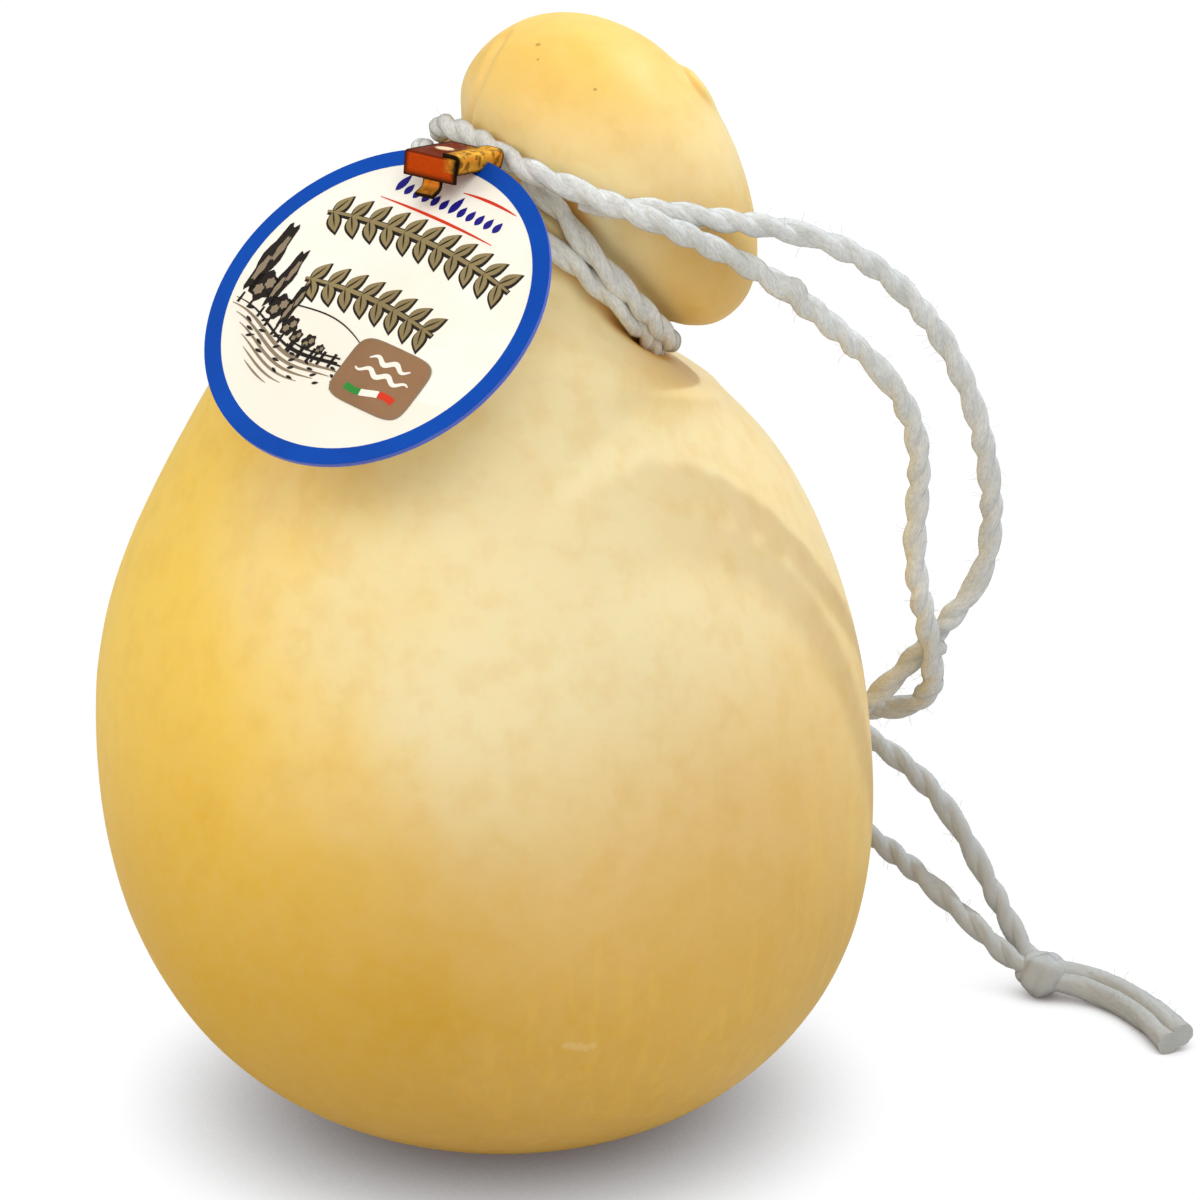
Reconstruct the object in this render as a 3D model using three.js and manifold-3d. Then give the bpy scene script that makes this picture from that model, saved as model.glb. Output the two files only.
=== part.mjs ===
// A caciocavallo: a pear-shaped stretched-curd cheese with a small round head above a tied neck,
// its doubled cotton twine with the knotted ends, and the round label held to it by a metal clip.
// Millimetres, +Z up. The origin is the middle of the flat spot that the cheese stands on,
// +X is the viewer's right and +Y points away from the viewer.
import * as THREE from 'three';
import { mergeVertices } from 'three/addons/utils/BufferGeometryUtils.js';
import Module from 'manifold-3d';

const manifoldKernel = await Module();
manifoldKernel.setup();

// ---- driving dimensions of the cheese (mm) -------------------------------------------------
const FOOT_RADIUS = 22;            // flat spot under the belly
const BELLY_RADIUS = 70.4;         // widest ring of the body
const BELLY_AT = 64.6;             // its distance from the foot, along the spine
const THROAT_RADIUS = 40.9;        // where the shoulder turns into the neck
const THROAT_BELOW_NECK = 15.7;
const NECK_RADIUS = 24.5;          // bottom of the groove that the twine has pulled in
const GROOVE = { from: -3, to: 3.2 };   // its flat bottom, from the neck's middle
const HEAD_RADIUS = 32.2;          // widest ring of the head
const HEAD_WIDEST_ABOVE_NECK = 16.4;
const HEAD_HEIGHT = 38.6;          // neck to crown, along the spine

// the spine: straight up from the foot, then bent to the right and a little back
const NECK_CENTRE = new THREE.Vector3(8.3, 6, 163.2);
const LEAN_AZIMUTH = THREE.MathUtils.degToRad(21);   // from +X towards +Y
const NECK_LEAN = THREE.MathUtils.degToRad(46);      // from the vertical
const CROWN_LEAN = THREE.MathUtils.degToRad(61.4);
const SPINE_START_PULL = new THREE.Vector3(1.1, 0, 45.3);
const SPINE_NECK_PULL = 34.5;
const LEAN_STARTS_AT = 100.2;      // rings below this stay level
const LEAN_POWER = 3;

// a small rise near the crown, on the far right of the head
const NUB = { at: new THREE.Vector3(35, 8, 190.5), height: 1.3, spread: 3.4 };

// ---- the twine ------------------------------------------------------------------------------
const TWINE_RADIUS = 2.2;
const DENT_RADIUS = 2.58;          // of the bed that each turn has pressed into the cheese
const RINGS_OF_TURN = 40;
const TWINE_SIDES = 8;
const STRAND_STEPS = 35;           // of each free strand
const TAIL_STEPS = 7;

// The two turns that sit in the groove: [angle round the neck (degrees), height along the neck,
// radius]. They press into the cheese where shoulder and head come close.
const LOWER_TURN = [
  [1, -2, 27.1], [16, -2, 27.1], [31, -2, 27.1], [46, -2, 27.1], [61, -1.8, 27.1],
  [76, -1.6, 27.1], [91, -1.5, 27.1], [106, -1.5, 27.1], [121, -1.6, 27.1], [136, -2, 27.1],
  [151, -2.6, 27.1], [166, -3.1, 27.1], [181, -3.1, 27.1], [196, -3, 27.1], [211, -2.7, 27.1],
  [226, -2.3, 27.1], [241, -2, 27.1], [256, -1.9, 27.1], [271, -1.6, 27.1], [286, -1.6, 27.1],
  [301, -1.7, 27.1], [316, -1.9, 27.1], [331, -2, 27.1], [346, -2, 27.1],
];
// The upper one starts under the clip, goes round by the right and the back, and ends at the left,
// where the lower strand carries on from it.
const UPPER_TURN = [
  [249.5, 3.9, 27.9], [256, 3.9, 27.9], [264, 3.6, 27.8], [273, 3.2, 28], [282, 3, 28.4],
  [291, 2.8, 28.6], [306, 2.7, 28.6], [327, 2.6, 28.5], [346, 2.6, 28.4],
  [361, 2.6, 28.4], [376, 2.6, 28.4], [391, 2.6, 28.4], [406, 2.6, 28.4], [421, 2.8, 28.4],
  [436, 3, 28.5], [451, 3.1, 28.4], [466, 3.1, 28.2], [481, 3.2, 27.9], [496, 2.8, 27.5],
  [511, 2.3, 27.2], [525.2, 1.7, 27.2],
];

// The two strands of the doubled twine, from the neck to the knot. Both cross the front of the head,
// stand out to its right, cross each other once and reach the knot behind the body's right side.
const UPPER_STRAND = [
  [14.4, -22.3, 178.6], [21.5, -23.9, 177.7], [28.9, -23.3, 176.8], [36.5, -20.7, 174.8],
  [44, -17.8, 172.9], [51.2, -14.2, 170.5], [57.9, -10.6, 167.3], [63.9, -7.2, 163.3],
  [69.4, -4, 158.3], [74.2, -1, 152.4], [78.5, 1.9, 145.9], [82, 4.6, 138.7],
  [84.8, 7.3, 131.2], [86.9, 10, 123.3], [88.3, 12.7, 115.4], [88.9, 15.6, 107.4],
  [88.6, 18.5, 100], [87, 21, 93.5], [83.7, 23.1, 87.4], [78.8, 25.4, 80.5],
  [74.2, 28, 73.7], [69.8, 31.2, 67.6], [65.2, 34.9, 62.7], [60, 39.6, 58.4],
  [55.4, 44.7, 54.4], [52.7, 49.5, 50.6], [52, 53.9, 46.4], [53.2, 57.9, 41.7],
  [56, 60.8, 37.2], [60, 62, 33.2], [65.3, 61.4, 29.7], [71.9, 59.2, 25.9],
  [78.4, 56, 21.6], [84.8, 52.2, 16.8], [91.3, 48.3, 11.8], [97.6, 45.2, 7],
];
const LOWER_STRAND = [
  [-10.7, 12.5, 181.6], [-9.9, 6.5, 183.9], [-7.5, 0.3, 185], [-2.9, -7.4, 184.8],
  [2.5, -14.7, 183.4], [7.2, -21.4, 182.8], [12.5, -25.7, 181.8], [18.6, -28.1, 179.9],
  [25, -28.6, 177.4], [31.1, -27.1, 174.3], [36.9, -23.6, 170.5], [43, -18.7, 165.9],
  [48.8, -14.4, 160.9], [54.9, -10.7, 155.1], [61.1, -7.1, 148.9], [66.5, -3.5, 142.7],
  [70.8, 0, 136.2], [73.6, 3.1, 129.4], [74.9, 6, 122.3], [75, 8.8, 113.9],
  [74.8, 11.4, 104.9], [75.5, 13.6, 96.7], [77.2, 16.2, 88.3], [78.7, 19.5, 80.8],
  [79.3, 23.8, 74.2], [78.6, 28.5, 68.8], [76.3, 33.2, 64.8], [72.1, 37.6, 62.1],
  [65.7, 42.9, 60.1], [61.7, 47.4, 58.5], [60.6, 51.7, 56.4], [61.9, 56.1, 53.6],
  [65.4, 59.5, 50.3], [70.2, 61, 46.6], [76.4, 60.6, 41.9], [82.3, 59.4, 36.3],
  [87.2, 57.7, 29.7], [91.5, 55.4, 22.4], [95.6, 52.3, 15], [99.6, 48.6, 8.4],
];
const KNOT = {
  centre: new THREE.Vector3(103.1, 44.6, 4.5),
  halfLength: 5,                   // along the twine
  halfWidth: 4.2,
  halfHeight: 4.25,
  lump: 0.45,
};
// Middle line of the two cut ends beyond the knot. They lie side by side on the floor, the front one
// a little higher, and part towards their tips.
const TAIL_LINE = [
  [109.4, 42.5, 4.1], [112, 41.6, 3.6], [115.5, 39.2, 3.1], [119.7, 34, 2.9],
  [123.5, 26.1, 2.9], [126.5, 17.4, 2.9],
];
const TAIL_PARTING = 0.35;           // at the tips, as a share of their distance
const TAILS = {
  a: { aside: 2.15, rise: -0.62 },
  b: { aside: -2.15, rise: 0.68 },
};

// ---- the label and its clip -----------------------------------------------------------------
const LABEL = {
  radius: 32,
  thickness: 0.9,
  centre: new THREE.Vector3(-20.4, -34.9, 163.5),
  normal: new THREE.Vector3(-0.369, -0.557, 0.743),
  up: new THREE.Vector3(0.423, 0.611, 0.668),
  sides: 72,
  notch: { halfWidth: 6.3, depth: 1.5 },   // where the clip grips the rim
};
const CLIP = {
  top: new THREE.Vector3(-7.5, -17.8, 186.1),
  across: new THREE.Vector3(0.79, -0.613, -0.012),
  back: new THREE.Vector3(0.611, 0.786, -0.099),
  width: 11.2,
  depth: 12.7,
  drop: 4.3,                       // of the front flange
  sheet: 0.7,
  lip: 1.3,                        // folded edge along the right side
  tongue: { width: 3.8, from: -2.4, drop: 3.2, reach: 2.2 },
};

// facets
const RING_SIDES = 56;
const BODY_STEPS = { heel: 15, shoulder: 15, throat: 5, neck: 6, head: 11 };

function makeSolid(geometry) {
  const bare = new THREE.BufferGeometry();
  bare.setAttribute('position', geometry.getAttribute('position').clone());
  if (geometry.index) bare.setIndex(geometry.index.clone());
  const welded = mergeVertices(bare, 1e-4);
  const mesh = new manifoldKernel.Mesh({
    numProp: 3,
    vertProperties: new Float32Array(welded.getAttribute('position').array),
    triVerts: new Uint32Array(welded.index.array),
  });
  return new manifoldKernel.Manifold(mesh);
}

function solidGeometry(solid) {
  const mesh = solid.getMesh();
  const geometry = new THREE.BufferGeometry();
  geometry.setAttribute('position', new THREE.Float32BufferAttribute(mesh.vertProperties, 3));
  geometry.setIndex(new THREE.BufferAttribute(mesh.triVerts, 1));
  geometry.computeVertexNormals();
  return geometry;
}

function leaningDirection(lean) {
  return new THREE.Vector3(
    Math.sin(lean) * Math.cos(LEAN_AZIMUTH),
    Math.sin(lean) * Math.sin(LEAN_AZIMUTH),
    Math.cos(lean),
  );
}

const NECK_AXIS = leaningDirection(NECK_LEAN);

function makeSpine() {
  const body = new THREE.CubicBezierCurve3(
    new THREE.Vector3(0, 0, 0),
    SPINE_START_PULL,
    NECK_CENTRE.clone().addScaledVector(NECK_AXIS, -SPINE_NECK_PULL),
    NECK_CENTRE,
  );
  const elbow = NECK_CENTRE.clone().addScaledVector(NECK_AXIS, HEAD_HEIGHT / 2);
  const crown = elbow.clone().addScaledVector(leaningDirection(CROWN_LEAN), HEAD_HEIGHT / 2);
  const head = new THREE.QuadraticBezierCurve3(NECK_CENTRE, elbow, crown);
  return { body, head, neckAt: body.getLength() };
}

// The outline of the cheese as (radius, distance along the spine), from the foot to the crown.
function makeOutline(neckAt) {
  const throatAt = neckAt - THROAT_BELOW_NECK;
  const heel = new THREE.CubicBezierCurve(
    new THREE.Vector2(FOOT_RADIUS, 0), new THREE.Vector2(28.2, 0.9),
    new THREE.Vector2(BELLY_RADIUS, BELLY_AT - 53.8), new THREE.Vector2(BELLY_RADIUS, BELLY_AT),
  );
  const shoulder = new THREE.CubicBezierCurve(
    new THREE.Vector2(BELLY_RADIUS, BELLY_AT), new THREE.Vector2(BELLY_RADIUS, BELLY_AT + 52),
    new THREE.Vector2(THROAT_RADIUS + 3.6, throatAt - 17.3), new THREE.Vector2(THROAT_RADIUS, throatAt),
  );
  const throat = new THREE.CubicBezierCurve(
    new THREE.Vector2(THROAT_RADIUS, throatAt), new THREE.Vector2(THROAT_RADIUS - 1.3, throatAt + 6.1),
    new THREE.Vector2(NECK_RADIUS, neckAt + GROOVE.from - 5), new THREE.Vector2(NECK_RADIUS, neckAt + GROOVE.from),
  );
  const widestAt = neckAt + HEAD_WIDEST_ABOVE_NECK;
  const neck = new THREE.CubicBezierCurve(
    new THREE.Vector2(NECK_RADIUS, neckAt + GROOVE.to), new THREE.Vector2(NECK_RADIUS, neckAt + GROOVE.to + 3),
    new THREE.Vector2(HEAD_RADIUS, widestAt - 10.4), new THREE.Vector2(HEAD_RADIUS, widestAt),
  );
  const crownAt = neckAt + HEAD_HEIGHT;
  const head = new THREE.CubicBezierCurve(
    new THREE.Vector2(HEAD_RADIUS, widestAt), new THREE.Vector2(HEAD_RADIUS, widestAt + 16.6),
    new THREE.Vector2(6.4, crownAt), new THREE.Vector2(0, crownAt),
  );
  const pieces = { heel, shoulder, throat, neck, head };
  const points = [];
  for (const [name, curve] of Object.entries(pieces)) {
    const run = curve.getSpacedPoints(BODY_STEPS[name]);
    const joinsPrevious = name !== 'heel' && name !== 'neck';
    points.push(...(joinsPrevious ? run.slice(1) : run));
  }
  return points;
}

function spineFrame(spine, distance) {
  let centre;
  let lean;
  if (distance <= spine.neckAt) {
    centre = spine.body.getPointAt(distance / spine.neckAt);
    const past = Math.max(0, distance - LEAN_STARTS_AT) / (spine.neckAt - LEAN_STARTS_AT);
    lean = NECK_LEAN * past ** LEAN_POWER;
  } else {
    const up = Math.min(1, (distance - spine.neckAt) / HEAD_HEIGHT);
    centre = spine.head.getPointAt(up);
    lean = NECK_LEAN + (CROWN_LEAN - NECK_LEAN) * up;
  }
  const axis = leaningDirection(lean);
  const across = new THREE.Vector3(-Math.sin(LEAN_AZIMUTH), Math.cos(LEAN_AZIMUTH), 0);
  return { centre, down: across.clone().cross(axis), across };
}

// Rings of vertices, closed by a middle vertex at each end.
function closedSkin(rings, firstMiddle, lastMiddle) {
  const sides = rings[0].length;
  const positions = [];
  for (const ring of rings) {
    for (const point of ring) positions.push(point.x, point.y, point.z);
  }
  positions.push(firstMiddle.x, firstMiddle.y, firstMiddle.z);
  positions.push(lastMiddle.x, lastMiddle.y, lastMiddle.z);
  const first = rings.length * sides;
  const index = [];
  for (let i = 0; i < sides; i += 1) {
    const j = (i + 1) % sides;
    index.push(first, j, i);
    index.push(first + 1, first - sides + i, first - sides + j);
    for (let r = 0; r + 1 < rings.length; r += 1) {
      const a = r * sides;
      const b = a + sides;
      index.push(a + i, a + j, b + j, a + i, b + j, b + i);
    }
  }
  const geometry = new THREE.BufferGeometry();
  geometry.setAttribute('position', new THREE.Float32BufferAttribute(positions, 3));
  geometry.setIndex(index);
  geometry.computeVertexNormals();
  return geometry;
}

function makeCheese() {
  const spine = makeSpine();
  const outline = makeOutline(spine.neckAt);
  const rings = outline.slice(0, -1).map(({ x: radius, y: distance }) => {
    const { centre, down, across } = spineFrame(spine, distance);
    const ring = [];
    for (let i = 0; i < RING_SIDES; i += 1) {
      const angle = (2 * Math.PI * i) / RING_SIDES;
      ring.push(centre.clone()
        .addScaledVector(down, radius * Math.cos(angle))
        .addScaledVector(across, radius * Math.sin(angle)));
    }
    return ring.map((point) => {
      const rise = NUB.height * Math.exp(-0.5 * (point.distanceTo(NUB.at) / NUB.spread) ** 2);
      return point.addScaledVector(point.clone().sub(centre).normalize(), rise);
    });
  });
  const crown = spineFrame(spine, outline.at(-1).y).centre;
  const whole = makeSolid(closedSkin(rings, new THREE.Vector3(0, 0, 0), crown));
  const lowerBed = makeSolid(makeClosedTurn(LOWER_TURN, DENT_RADIUS));
  const upperBed = makeSolid(makeTwine(turnPoints(UPPER_TURN), RINGS_OF_TURN, DENT_RADIUS));
  return solidGeometry(whole.subtract(lowerBed).subtract(upperBed));
}

// Points of a loop of twine in the groove of the neck.
function turnPoints(rows) {
  const side = NECK_AXIS.clone().cross(new THREE.Vector3(0, 1, 0)).negate().normalize();
  const other = NECK_AXIS.clone().cross(side);
  return rows.map(([degrees, height, radius]) => {
    const angle = THREE.MathUtils.degToRad(degrees);
    return NECK_CENTRE.clone()
      .addScaledVector(NECK_AXIS, height)
      .addScaledVector(side, radius * Math.cos(angle))
      .addScaledVector(other, radius * Math.sin(angle));
  });
}

function makeClosedTurn(rows, radius = TWINE_RADIUS) {
  const loop = new THREE.CatmullRomCurve3(turnPoints(rows), true, 'centripetal');
  return new THREE.TubeGeometry(loop, RINGS_OF_TURN, radius, TWINE_SIDES, true);
}

// A length of twine along the given points, cut square at both ends.
function makeTwine(points, steps, radius = TWINE_RADIUS) {
  const route = new THREE.CatmullRomCurve3(points, false, 'centripetal');
  const section = new THREE.Shape();
  for (let i = 0; i < TWINE_SIDES; i += 1) {
    const angle = (2 * Math.PI * i) / TWINE_SIDES;
    const corner = [radius * Math.cos(angle), radius * Math.sin(angle)];
    if (i === 0) section.moveTo(...corner); else section.lineTo(...corner);
  }
  return new THREE.ExtrudeGeometry(section, { steps, curveSegments: 1, bevelEnabled: false, extrudePath: route });
}

function makeTail({ aside, rise }) {
  const last = TAIL_LINE.length - 1;
  const points = TAIL_LINE.map(([x, y, z], i) => {
    const [fromX, fromY] = TAIL_LINE[Math.max(0, i - 1)];
    const [toX, toY] = TAIL_LINE[Math.min(last, i + 1)];
    const side = new THREE.Vector3(fromY - toY, toX - fromX, 0).normalize();
    const spread = 1 + TAIL_PARTING * (i / last) ** 3;
    return new THREE.Vector3(x, y, z + rise).addScaledVector(side, aside * spread);
  });
  return makeTwine(points, TAIL_STEPS);
}

// The knot: a lumpy pebble of wrapped twine.
function makeKnot() {
  const pebble = new THREE.SphereGeometry(1, 24, 16);
  const along = new THREE.Vector3(0.7, -0.71, 0);
  const aside = new THREE.Vector3(0.71, 0.7, 0);
  const position = pebble.getAttribute('position');
  const point = new THREE.Vector3();
  for (let i = 0; i < position.count; i += 1) {
    point.fromBufferAttribute(position, i);
    const wraps = 1 + (KNOT.lump / KNOT.halfWidth) * Math.cos(3 * Math.atan2(point.y, point.x) + 4 * point.z)
      * Math.hypot(point.x, point.y);
    const placed = KNOT.centre.clone()
      .addScaledVector(along, point.z * KNOT.halfLength)
      .addScaledVector(aside, point.x * KNOT.halfWidth * wraps);
    placed.z += point.y * KNOT.halfHeight * Math.min(1, wraps);
    position.setXYZ(i, placed.x, placed.y, placed.z);
  }
  const solid = makeSolid(pebble);
  return solidGeometry(solid);
}

// The round card, with the slot in its rim that the clip grips.
function makeLabel() {
  const { radius, thickness, sides, notch } = LABEL;
  const rimAngle = Math.asin(notch.halfWidth / radius);
  const outline = new THREE.Shape();
  outline.moveTo(notch.halfWidth, radius - notch.depth);
  outline.lineTo(notch.halfWidth, radius * Math.cos(rimAngle));
  outline.absarc(0, 0, radius, Math.PI / 2 - rimAngle, Math.PI / 2 + rimAngle - 2 * Math.PI, true);
  outline.lineTo(-notch.halfWidth, radius - notch.depth);
  outline.closePath();
  const card = new THREE.ExtrudeGeometry(outline, { depth: thickness, curveSegments: sides, bevelEnabled: false });
  card.translate(0, 0, -thickness / 2);
  const normal = LABEL.normal.clone().normalize();
  const right = LABEL.up.clone().cross(normal).normalize();
  const up = normal.clone().cross(right);
  card.applyMatrix4(new THREE.Matrix4().makeBasis(right, up, normal).setPosition(LABEL.centre));
  return card;
}

// The clip: one bent strip with a flat top, a front flange, a folded right edge and a tongue.
function makeClip() {
  const { width, depth, drop, sheet, lip, tongue } = CLIP;
  const box = (x0, x1, y0, y1, z0, z1) => {
    const block = new THREE.BoxGeometry(x1 - x0, y1 - y0, z1 - z0);
    block.translate((x0 + x1) / 2, (y0 + y1) / 2, (z0 + z1) / 2);
    return makeSolid(block);
  };
  const half = width / 2;
  const front = -depth / 2;
  const strip = new THREE.Shape();
  // cross-section of the tongue, in the plane of (back, up)
  strip.moveTo(front, -drop + 0.3);
  strip.lineTo(front + sheet, -drop + 0.3);
  strip.lineTo(front + sheet * 0.9, -drop - tongue.drop * 0.45);
  strip.lineTo(front - tongue.reach, -drop - tongue.drop * 0.75);
  strip.lineTo(front - tongue.reach - 0.1, -drop - tongue.drop * 0.75 + sheet);
  strip.lineTo(front - 0.1, -drop - tongue.drop * 0.3);
  strip.closePath();
  const tongueBlock = new THREE.ExtrudeGeometry(strip, { depth: tongue.width, curveSegments: 1, bevelEnabled: false });
  // shape x -> back, shape y -> up, extrusion -> across
  tongueBlock.applyMatrix4(new THREE.Matrix4().makeBasis(
    new THREE.Vector3(0, 1, 0), new THREE.Vector3(0, 0, 1), new THREE.Vector3(1, 0, 0),
  ).setPosition(tongue.from, 0, 0));
  const bent = box(-half, half, front, depth / 2, -sheet, 0)
    .add(box(-half, half, front, front + sheet, -drop, 0))
    .add(box(half - sheet, half, front, depth / 2, -lip, 0))
    .add(makeSolid(tongueBlock));
  const across = CLIP.across.clone().normalize();
  const up = across.clone().cross(CLIP.back).normalize();
  const back = up.clone().cross(across);
  const geometry = solidGeometry(bent).toNonIndexed();
  geometry.applyMatrix4(new THREE.Matrix4().makeBasis(across, back, up).setPosition(CLIP.top));
  geometry.computeVertexNormals();
  return geometry;
}

const rind = new THREE.MeshStandardMaterial({ color: 0xedd48c, roughness: 0.42, metalness: 0 });
const cotton = new THREE.MeshStandardMaterial({ color: 0xe3e0d5, roughness: 0.9, metalness: 0 });
const card = new THREE.MeshStandardMaterial({ color: 0xfff9ea, roughness: 0.4, metalness: 0 });
const copper = new THREE.MeshStandardMaterial({ color: 0xa95a1c, roughness: 0.3, metalness: 0.9 });

const vectors = (rows) => rows.map((row) => new THREE.Vector3(...row));

const part = new THREE.Group();
function addPiece(name, geometry, material) {
  const own = material.clone();
  own.name = name;
  const mesh = new THREE.Mesh(geometry, own);
  mesh.name = name;
  part.add(mesh);
}

addPiece('cheese', makeCheese(), rind);
addPiece('label', makeLabel(), card);
addPiece('clip', makeClip(), copper);
addPiece('twine_turn_lower', solidGeometry(makeSolid(makeClosedTurn(LOWER_TURN))), cotton);
addPiece('twine_turn_upper', makeTwine(turnPoints(UPPER_TURN), RINGS_OF_TURN), cotton);
addPiece('twine_upper', makeTwine(vectors(UPPER_STRAND), STRAND_STEPS), cotton);
addPiece('twine_lower', makeTwine(vectors(LOWER_STRAND), STRAND_STEPS), cotton);
addPiece('twine_knot', makeKnot(), cotton);
addPiece('twine_tail_a', makeTail(TAILS.a), cotton);
addPiece('twine_tail_b', makeTail(TAILS.b), cotton);

export default part;
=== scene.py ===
"""A caciocavallo: a waxy pear-shaped cheese with its tied neck, cotton twine, round card and clip.

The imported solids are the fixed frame. This script replaces the cheese, the clip and every length of
twine by finer meshes in the same places, give or take about 2 mm, prints a plain generic design on the
card, and sets the studio and the camera. Shapes are written in millimetres and turned into metres by
`MM`, and the spans and reliefs of a finish are in metres.
"""

from __future__ import annotations

import logging
import math
from collections.abc import Callable, Sequence
from dataclasses import dataclass
from enum import Enum
from functools import reduce

import bmesh
import bpy
import numpy as np
from mathutils import Matrix, Vector, noise

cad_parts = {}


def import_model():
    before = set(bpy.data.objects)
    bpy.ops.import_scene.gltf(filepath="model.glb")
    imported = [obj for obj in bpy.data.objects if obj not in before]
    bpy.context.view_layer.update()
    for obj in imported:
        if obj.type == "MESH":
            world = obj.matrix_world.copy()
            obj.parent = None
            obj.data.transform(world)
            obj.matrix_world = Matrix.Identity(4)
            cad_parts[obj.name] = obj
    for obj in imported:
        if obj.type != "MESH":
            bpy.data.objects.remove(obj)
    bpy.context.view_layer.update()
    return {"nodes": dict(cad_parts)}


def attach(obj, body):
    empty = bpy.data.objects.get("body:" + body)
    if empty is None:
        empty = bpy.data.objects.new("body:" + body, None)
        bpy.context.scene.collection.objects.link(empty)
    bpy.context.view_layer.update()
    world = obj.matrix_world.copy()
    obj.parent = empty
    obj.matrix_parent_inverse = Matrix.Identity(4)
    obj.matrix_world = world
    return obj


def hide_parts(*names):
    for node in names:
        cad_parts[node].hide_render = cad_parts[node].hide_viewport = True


MM = 0.001
BODY = "root"
FIBRE_ATTRIBUTE = "fibre_lay"
TWINE_SHADE_ATTRIBUTE = "pressed"
FOLD_STEP_SHADE_ATTRIBUTE = "creased"
EDGE_ATTRIBUTE = "tarnish"
GILT_ATTRIBUTE = "gilt"
BOSS_HIGHLIGHT_ATTRIBUTE = "worn"
LOG = logging.getLogger("caciocavallo")

MERGE_DISTANCE = 1e-7
BATCH = 4000
CURVE_SHARES = 201

Points = np.ndarray
Value = object
Socket = bpy.types.NodeSocket
Colour = tuple[int, int, int]
Span = tuple[float, float]
Place = tuple[float, float, float]


# ---- small tools ----------------------------------------------------------------------------------

def srgb(red: int, green: int, blue: int) -> tuple[float, float, float, float]:
    """Turn a colour as seen on a screen into the linear values that Blender works with.

    Args:
        red, green, blue: the channels, 0 to 255.

    Returns:
        The linear colour with an alpha of 1.
    """
    def linear(channel: int) -> float:
        """Return the linear value of one channel."""
        share = channel / 255
        return share / 12.92 if share <= 0.04045 else ((share + 0.055) / 1.055) ** 2.4

    return linear(red), linear(green), linear(blue), 1.0


def unit(vector: Sequence[float]) -> Points:
    """Return the vector scaled to a length of one."""
    array = np.asarray(vector, float)
    return array / np.linalg.norm(array)


def bezier(corners: Sequence[Sequence[float]], share: Points) -> Points:
    """Evaluate a Bezier curve of any degree.

    Args:
        corners: its control points.
        share: parameters from 0 to 1.

    Returns:
        One point for each parameter.
    """
    row = [np.tile(np.asarray(corner, float), (len(share), 1)) for corner in corners]
    t = np.asarray(share)[:, None]
    while len(row) > 1:
        row = [(1 - t) * a + t * b for a, b in zip(row, row[1:])]
    return row[0]


def arc_table(points: Points) -> Points:
    """Return the distance travelled up to each point of a line."""
    return np.append(0, np.cumsum(np.linalg.norm(np.diff(points, axis=0), axis=1)))


def even_bezier(corners: Sequence[Sequence[float]], steps: int) -> Points:
    """Return `steps` + 1 points of a Bezier curve that lie evenly along it."""
    share = np.linspace(0, 1, CURVE_SHARES)
    along = arc_table(bezier(corners, share))
    return bezier(corners, np.interp(np.linspace(0, along[-1], steps + 1), along, share))


def smooth_route(points: Sequence[Sequence[float]], closed: bool = False, fineness: int = 12) -> Points:
    """Pass a centripetal Catmull-Rom curve through the points, as the CAD model does.

    Args:
        points: the places that the route passes.
        closed: whether the last point leads back to the first.
        fineness: how many points each stretch gets.

    Returns:
        The points of the curve.
    """
    route = np.asarray(points, float)
    if closed:
        route = np.vstack([route[-1:], route, route[:2]])
    else:
        route = np.vstack([2 * route[0] - route[1], route, 2 * route[-1] - route[-2]])
    result = []
    for p0, p1, p2, p3 in zip(route, route[1:], route[2:], route[3:]):
        t1 = math.sqrt(np.linalg.norm(p1 - p0))
        t2 = t1 + math.sqrt(np.linalg.norm(p2 - p1))
        t3 = t2 + math.sqrt(np.linalg.norm(p3 - p2))
        t = np.linspace(t1, t2, fineness, endpoint=False)[:, None]
        a1 = (t1 - t) / t1 * p0 + t / t1 * p1
        a2 = (t2 - t) / (t2 - t1) * p1 + (t - t1) / (t2 - t1) * p2
        a3 = (t3 - t) / (t3 - t2) * p2 + (t - t2) / (t3 - t2) * p3
        b1 = (t2 - t) / t2 * a1 + t / t2 * a2
        b2 = (t3 - t) / (t3 - t1) * a2 + (t - t1) / (t3 - t1) * a3
        result.append((t2 - t) / (t2 - t1) * b1 + (t - t1) / (t2 - t1) * b2)
    if not closed:
        result.append(route[-2:-1])
    return np.vstack(result)


def distance_to(line: Points, points: Points) -> tuple[Points, Points]:
    """Find the nearest point of a dense line to each of many points.

    Args:
        line: the line's points.
        points: where to measure from.

    Returns:
        The distances, and the indices of the nearest points of the line.
    """
    distances = np.empty(len(points))
    nearest = np.empty(len(points), int)
    for start in range(0, len(points), BATCH):
        batch = slice(start, start + BATCH)
        gaps = np.linalg.norm(points[batch][:, None, :] - line[None, :, :], axis=2)
        nearest[batch] = gaps.argmin(axis=1)
        distances[batch] = gaps.min(axis=1)
    return distances, nearest


def linked_object(name: str, data: bpy.types.ID) -> bpy.types.Object:
    """Make an object of this data, linked into the scene, at the origin."""
    made = bpy.data.objects.new(name, data)
    bpy.context.collection.objects.link(made)
    return made


def sideways(line: Points) -> Points:
    """Return the unit direction to the left of a flat line at each of its points."""
    run = np.gradient(line, axis=0)
    side = np.column_stack([-run[:, 1], run[:, 0]])
    return side / np.linalg.norm(side, axis=1)[:, None]


def turned(points: Sequence[Sequence[float]], degrees: float) -> Points:
    """Turn flat points anticlockwise about the origin."""
    turn = math.radians(degrees)
    spin = np.array([[math.cos(turn), math.sin(turn)], [-math.sin(turn), math.cos(turn)]])
    return np.asarray(points, float) @ spin


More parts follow.
